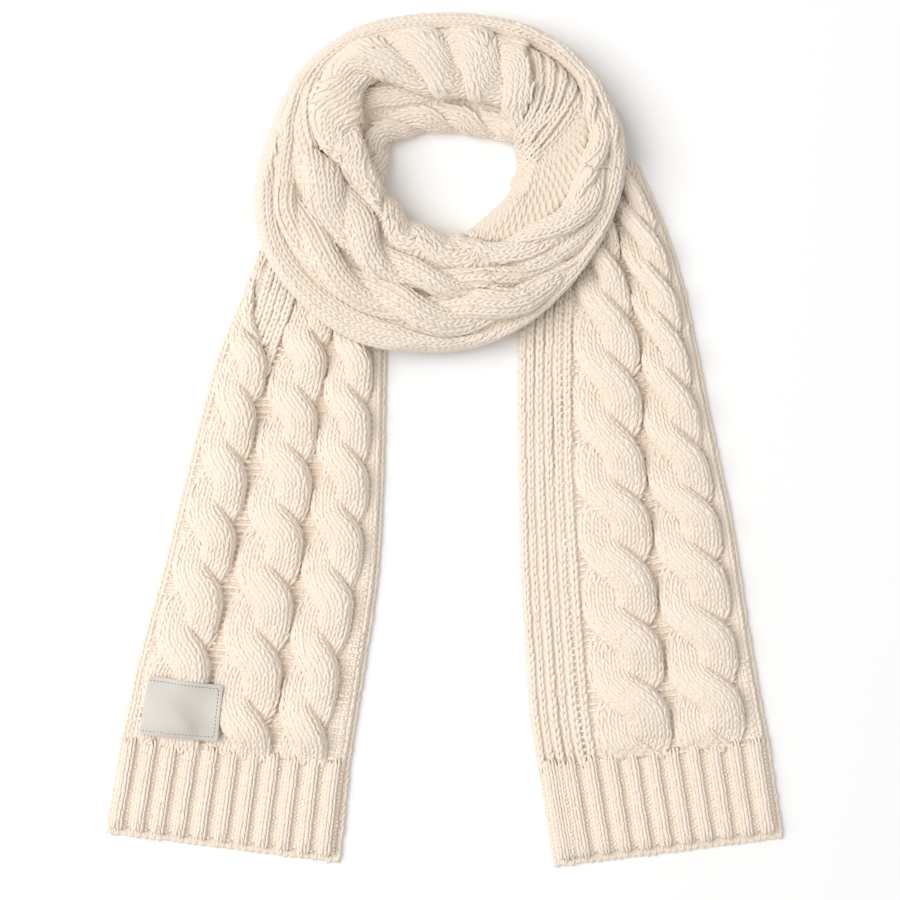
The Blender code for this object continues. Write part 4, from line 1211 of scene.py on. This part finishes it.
def neckColumn(stretch, shareAt, stitch, shows, ribbed=False, **look):
    # Stitches along a stretch, at the share across it that shareAt gives
    def surface(angle, w):
        share = shareAt(angle) + w
        relief = plainRelief(stretch, angle, share) if ribbed else 0 * share
        return raised(stretch, angle, share, relief - knit["sink"])

    def keep(angle, here):
        return shown(stretch, angle) & shows(angle, shareAt(angle))
    return stitchLine(surface, stitch, stretch["range"], knit["row"], probe["neck"], keep, phase=0.1, **look)


def sideOf(stretch, lane, distance, fromOuter):
    # The share across at a distance from one side of a lane
    def shareAt(angle):
        low, high, girth = laneAt(stretch, lane, angle)
        return high - distance / girth if fromOuter else low + distance / girth
    return shareAt


def plainColumn(stretch, lane, distance):
    # Knit stitches along the part of a lane that carries no cable
    def shows(angle, share):
        low, high, girth = laneAt(stretch, lane, angle)
        plain = laneStrength(stretch, lane, angle, (low + high) / 2) < neckShape["plainBelow"]
        return plain & (distance < (high - low) * girth - 0.001) & ~swept(stretch, angle, share)
    shareAt = sideOf(stretch, lane, distance, "fromOuter" in stretch["lanes"][lane])
    return neckColumn(stretch, shareAt, knitV, shows, ribbed=True, lift=0.0002)


def purlBeside(stretch, lane, cable, distance, fromOuter):
    # Purl bars beside the strands of a cable, where neither covers the cloth
    def shows(angle, share):
        low, high, girth = laneAt(stretch, lane, angle)
        crossings = laneTurn(stretch, lane, angle) / math.pi
        stands = rope(cable, 2 * (share - low) / (high - low) - 1, crossings)
        keep = stands * laneStrength(stretch, lane, angle, share) < neckShape["hides"]
        keep &= laneStrength(stretch, lane, angle, (low + high) / 2) > neckShape["purlAbove"]
        keep &= ~swept(stretch, angle, share)
        return keep & (distance < (high - low) * girth / 2) & (share > 0.01) & (share < 0.99)
    shareAt = sideOf(stretch, lane, distance, fromOuter)
    return neckColumn(stretch, shareAt, purlBar, shows, lift=0.0008, wobble=1.8)


def sweepingRibs(stretch):
    # Ribs, and further round plain purl, running down into the opening
    batches = []
    start, end = stretch["range"]
    for i in range(int((sweep["ribsFrom"] - start + 4) / (sweep["pitch"] / 2))):
        leaves = sweep["ribsFrom"] - sweep["pitch"] / 2 * (i + 1)
        stitch, size = purlBar, (1.15, 1, 1.1)
        if leaves > sweep["ribsTo"]:
            stitch, size = (purlBar, (0.7, 1, 1)) if i % 2 else (knitV, (1.05, 1, 1))

        def surface(share, w):
            angle = np.clip(leaves - (1 - share) * sweep["cross"] + w, start, end)
            return raised(stretch, angle, share, plainRelief(stretch, angle, share) - knit["sink"])

        t = rowsAlong(surface, 0.0, 1.0, knit["row"])
        angle = leaves - (1 - t) * sweep["cross"]
        here, along, upward = framesAt(surface, t, t * 0, *probe["sweep"])
        frames = here, along, upward * np.sign(upward[:, 2:3] + 1e-9)
        batches.append(placeStitches(stitch, frames, (angle > start + 1) & (angle < end), 0.0003, size, 1.3))
    return batches


def hiddenSide(stretch):
    batches = []
    for start, end in stretch["sides"]:
        for z in stretch["rows"]:
            def surface(angle, w):
                return neckPoint(angle, coreReach(angle)[1] + 0.0004, z)

            t = rowsAlong(surface, start, end, knit["row"])
            here = surface(t, 0)
            along = unit(surface(t + 0.5, 0) - surface(t - 0.5, 0))
            upward = unit(here - neckPoint(t, 0, z) + 0.02 * upright)
            batches.append(placeStitches(knitV, (here, along, upward), size=(0.95, 1, 0.9), wobble=1.3))
    return batches


def neckYarn(name, stretch):
    # Lays the stretch out, covers it with stitches and gives the top of its cloth
    layOut(stretch)
    angles, points, lanes = stretch["angles"], stretch["points"], stretch["lanes"]
    share = np.linspace(0, 1, neckShape["across"] + 1)[None] + 0 * angles[:, None]
    every = angles[:, None] + 0 * share
    rise = plainRelief(stretch, every, share)
    yarns = []
    for lane in range(len(lanes)):
        cable = lanes[lane].get("rope", neckRope)
        low, high = laneAt(stretch, lane, every)[:2]
        part = (share - low) / (high - low)
        relief = rope(cable, 2 * part - 1, laneTurn(stretch, lane, every) / math.pi)
        relief = relief * laneStrength(stretch, lane, every, share)
        rise = np.where((part >= 0) & (part <= 1) & ~swept(stretch, every, share), relief, rise)

        batches = neckStrands(stretch, lane, cable)
        batches += [plainColumn(stretch, lane, (i + 0.5) * knit["wale"])
                    for i in range(stretch.get("columns", 12))]
        batches += [purlBeside(stretch, lane, cable, distance, fromOuter)
                    for fromOuter in (False, True) for distance in neckShape["purlBeside"]]
        if lane + 1 < len(lanes):
            crease = sideOf(stretch, lane, 0.0, True)
            batches.append(neckColumn(stretch, crease, purlBar, lambda angle, share: True, wobble=1.5))
        yarns.append(buildYarn("%s_yarn_%d" % (name, lane + 1), batches, neckYarnWool))
    normal = gridNormal(stretch, every.ravel(), share.ravel()).reshape(points.shape)
    filled = knit["neckFill"] * np.clip(0.5 + rise / 0.008, 0, 1)
    return points + normal * (rise - knit["sink"] + filled)[..., None], yarns


def neckCloth(name):
    stretch = stretches[name]
    top, yarns = neckYarn(name, stretch)
    if "sweeps" in stretch:
        yarns.append(buildYarn(name + "_yarn_ribs", sweepingRibs(stretch), neckYarnWool))
    points = stretch["points"]
    length = np.maximum(np.linalg.norm(np.gradient(points, axis=1), axis=-1), 1e-6)
    steep = 1 / np.sqrt(np.maximum(1 - (np.gradient(points[..., 2], axis=1) / length) ** 2, 0.2))
    under = np.maximum(stretch["under"] + 0.0002, points[..., 2] - knit["thick"] * steep)
    under = np.maximum(np.minimum(under, top[..., 2] - 0.0008), 0.0)
    bottom = at(points[..., 0], points[..., 1], under)
    cloth = buildCloth(name, top[:, ::2], bottom[:, ::4], neckGroundWool)
    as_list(yarns)


def hiddenCloth(name):
    # The layers under the folds, seen round the back of the opening
    stretch = stretches[name]
    top = neckYarn(name, stretch)[0][:-1:2, ::3]
    buildYarn(name + "_yarn_side", hiddenSide(stretch), neckYarnWool)
    angles = stretch["angles"][:-1:2, None]
    inner, outer = coreReach(angles)
    share = np.linspace(0, 1, 8)[None, 1:] ** 0.7
    lines = coreLines(0)
    radius = (inner + lines[-1] - lines[0]) * (1 - share) + outer * share
    z = np.maximum(coreTop(angles, radius) - knit["sink"], 0.0025)
    rings = [top, neckPoint(angles, radius, z), neckPoint(angles, outer, 0.0), neckPoint(angles, inner, 0.0)]
    rings = np.concatenate(rings, axis=1)
    index = np.arange(rings[..., 0].size).reshape(rings.shape[:2])
    after = np.roll(index, -1, axis=0)
    quads = np.stack([index, np.roll(index, -1, axis=1), np.roll(after, -1, axis=1), after], axis=-1)
    piece = buildMesh(name + "_cloth", rings.reshape(-1, 3), quads.ravel(), np.full(index.size, 4),
                      neckGroundWool)
    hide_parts(name)


for tail in (leftTail, rightTail):
    tailBack(tail)
    hemBack(tail)
    tailFront(tail)
    hemFront(tail)
    print("tail", tail["name"], "done")
hiddenCloth("neck_hidden_layers")
for name in ("neck_front", "neck_back_outer", "neck_back_inner"):
    neckCloth(name)
    print(name, "done")


# ---- label

label = {
    "corners": ((-0.2725, -0.2625), (-0.2025, -0.2690), (-0.1975, -0.2190), (-0.2640, -0.2100)),
    "size": (0.070, 0.050), "round": 0.0025, "thick": 0.00096, "grid": (31, 41),
    "clear": 0.0013, "lowest": tailTop + knit["seam"] - 0.0085, "smooth": 90,
    "colour": (0.68, 0.645, 0.585), "thread": (0.16, 0.15, 0.15), "inset": 0.0036, "pitch": 0.0031,
    "dash": (0.002232, 0.0008, 0.0007, 0, 0, 0.00015),
}


def makeSatin():
    made, tree, shader = newMaterial("labelSatin", {"Roughness": 0.55, "Specular IOR Level": 0.35})
    place = addNode(tree, "TexCoord", (-900, 0))
    weave = addNode(tree, "TexWave", (-650, 100), Scale=420.0, Distortion=0.6)
    cross = addNode(tree, "TexWave", (-650, -200), bands_direction="Y", Scale=700.0, Distortion=0.4)
    total = addMath(tree, (-420, 0), "ADD")
    bump = addNode(tree, "Bump", (-220, -120), Strength=0.25, Distance=0.0003)
    tone = addBlend(tree, (-220, 200), [value * 0.93 for value in label["colour"]], label["colour"])
    wire(tree, (place, "Object", weave, "Vector"), (place, "Object", cross, "Vector"),
         (weave, "Fac", total, 0), (cross, "Fac", total, 1), (total, 0, bump, "Height"),
         (weave, "Fac", tone, 0), (tone, 2, shader, "Base Color"), (bump, "Normal", shader, "Normal"))
    return made


def makeThread():
    made, tree, shader = newMaterial("labelThread", {"Roughness": 0.6})
    place = addNode(tree, "TexCoord", (-600, 0))
    noise = addNode(tree, "TexNoise", (-400, 0), Scale=900.0)
    tone = addBlend(tree, (-200, 100), label["thread"], [value * 1.5 for value in label["thread"]])
    wire(tree, (place, "Object", noise, "Vector"), (noise, "Fac", tone, 0), (tone, 2, shader, "Base Color"))
    return made


def labelPlan(u, v):
    # A place on the label, u from left to right and v from bottom to top
    a, b, c, d = [np.array(corner) for corner in label["corners"]]
    u, v = np.asarray(u)[..., None], np.asarray(v)[..., None]
    place = (1 - v) * ((1 - u) * a + u * b) + v * ((1 - u) * d + u * c)
    return place[..., 0], place[..., 1]


def knittingUnder(tail, x, y):
    # Height of the tail's knitting below a place
    t = y + 0 * x
    for step in range(4):
        edges = tailEdges(tail, t)
        t = y - curve(tail["rows"], t, 1) * (x - (edges[0] + edges[-1]) / 2)
    inside = np.clip(x, edges[0] + 0.0001, edges[-1] - 0.0001)
    ground, shoulder = tailGround(tail, t, inside)
    return ground + tailRelief(tail, t, inside, ("cable",)) * shoulder * fadeToHem(tail, t)


def drapeLabel():
    # Heights of the label on a grid: it lies on the highest stitches and hangs a little
    # between them, as a stiff tab does
    rows, wide = label["grid"]
    u, v = np.meshgrid(np.linspace(0, 1, wide), np.linspace(0, 1, rows))
    lowest = np.maximum(knittingUnder(leftTail, *labelPlan(u, v)) + label["clear"], label["lowest"])
    z = lowest
    for step in range(label["smooth"]):
        wider = np.pad(z, 1, mode="reflect", reflect_type="odd")
        z = (wider[:-2, 1:-1] + wider[2:, 1:-1] + wider[1:-1, :-2] + wider[1:-1, 2:]) / 4
        z = np.maximum(z, lowest)
    return z


labelHeights = drapeLabel()


def labelPoint(u, v):
    rows, wide = labelHeights.shape
    i, j = np.clip(v, 0, 0.9999) * (rows - 1), np.clip(u, 0, 0.9999) * (wide - 1)
    a, b = np.asarray(i).astype(int), np.asarray(j).astype(int)
    z = ((1 - i + a) * ((1 - j + b) * labelHeights[a, b] + (j - b) * labelHeights[a, b + 1])
         + (i - a) * ((1 - j + b) * labelHeights[a + 1, b] + (j - b) * labelHeights[a + 1, b + 1]))
    return at(*labelPlan(u, v), z)


def stitchLabel():
    # A row of dark stitches along three sides
    (wide, tall), inset = label["size"], label["inset"]
    left, right, low, high = inset / wide * 0.4, 1 - inset / wide, inset / tall, 1 - inset / tall
    corners = ((left, high), (right, high), (right, low), (left, low))
    here, ahead = [], []
    for (ua, va), (ub, vb) in zip(corners, corners[1:]):
        count = int(math.hypot((ub - ua) * wide, (vb - va) * tall) / label["pitch"])
        s = (np.arange(count) + 0.5) / count
        ends = [labelPoint(ua + (ub - ua) * place, va + (vb - va) * place) for place in (s, s + 0.01)]
        here.append(ends[0])
        ahead.append(unit(ends[1] - ends[0]))
    here, ahead = np.concatenate(here), np.concatenate(ahead)
    dash = takeShape([shapeLoop(*label["dash"])])
    frames = here + upright * (label["thick"] + 0.0001), ahead, np.tile(upright, (len(here), 1))
    return buildYarn("label_stitching", [placeStitches(dash, frames, wobble=0.5)], makeThread())


def makeLabel():
    bpy.ops.mesh.primitive_grid_add(x_subdivisions=28, y_subdivisions=20, size=2)
    piece = bpy.context.object
    piece.name = "label_cloth"
    (wide, tall), reach = label["size"], label["round"]
    for vertex in piece.data.vertices:
        x, y = vertex.co.x * wide / 2, vertex.co.y * tall / 2
        overX, overY = abs(x) - (wide / 2 - reach), abs(y) - (tall / 2 - reach)
        if overX > 0 and overY > 0 and math.hypot(overX, overY) > reach:
            pull = reach / math.hypot(overX, overY)
            x = math.copysign(wide / 2 - reach + overX * pull, x)
            y = math.copysign(tall / 2 - reach + overY * pull, y)
        vertex.co = labelPoint(x / wide + 0.5, y / tall + 0.5)
    solid = piece.modifiers.new("thickness", "SOLIDIFY")
    solid.thickness, solid.offset = label["thick"], 1
    bevel = piece.modifiers.new("edges", "BEVEL")
    bevel.width, bevel.segments, bevel.limit_method = 0.0003, 2, "ANGLE"
    bpy.ops.object.modifier_apply(modifier="thickness")
    bpy.ops.object.modifier_apply(modifier="edges")
    bpy.ops.object.shade_smooth_by_angle(angle=math.radians(40))
    piece.data.materials.clear()
    piece.data.materials.append(makeSatin())
    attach(piece, "root")
    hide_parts("label")
    stitchLabel()


makeLabel()
print("label done")


# ---- floor, light and camera

studio = {
    "sky": 0.585, "key": 188.0, "keySize": 4.4, "keyPlace": (-3.02, 0.55, 3.95),
    "lens": 100.0, "sensor": 36, "width": 0.81, "aim": (0.0051, -0.0085),
}


def makeFloor():
    bpy.ops.mesh.primitive_plane_add(size=8, location=(0, 0, 0))
    floor = bpy.context.object
    floor.name = "floor"
    looks = {"Base Color": (0.96, 0.96, 0.96, 1), "Roughness": 0.9, "Specular IOR Level": 0.1}
    floor.data.materials.append(newMaterial("paleFloor", looks)[0])


def makeStudio():
    world = bpy.data.worlds.new("studio")
    bpy.context.scene.world = world
    world.use_nodes = True
    background = world.node_tree.nodes["Background"]
    background.inputs["Color"].default_value = (1.0, 1.0, 1.0, 1)
    background.inputs["Strength"].default_value = studio["sky"]
    x, y, z = studio["keyPlace"]
    bpy.ops.object.light_add(type="AREA", location=(x, y, z))
    lamp = bpy.context.object
    lamp.name = "key"
    lamp.data.shape, lamp.data.size, lamp.data.energy = "DISK", studio["keySize"], studio["key"]
    lamp.data.color = (1.0, 0.99, 0.98)
    lamp.rotation_euler = (math.atan2(math.hypot(x, y), z), 0, math.atan2(-y, -x) - math.radians(90))
    bpy.ops.object.camera_add()
    camera = bpy.context.object
    camera.data.lens, camera.data.sensor_width = studio["lens"], studio["sensor"]
    camera.location = (*studio["aim"], studio["width"] * studio["lens"] / studio["sensor"])
    camera.rotation_euler = (0, 0, 0)
    bpy.context.scene.camera = camera
    bpy.context.scene.view_settings.view_transform = "Standard"


makeFloor()
makeStudio()
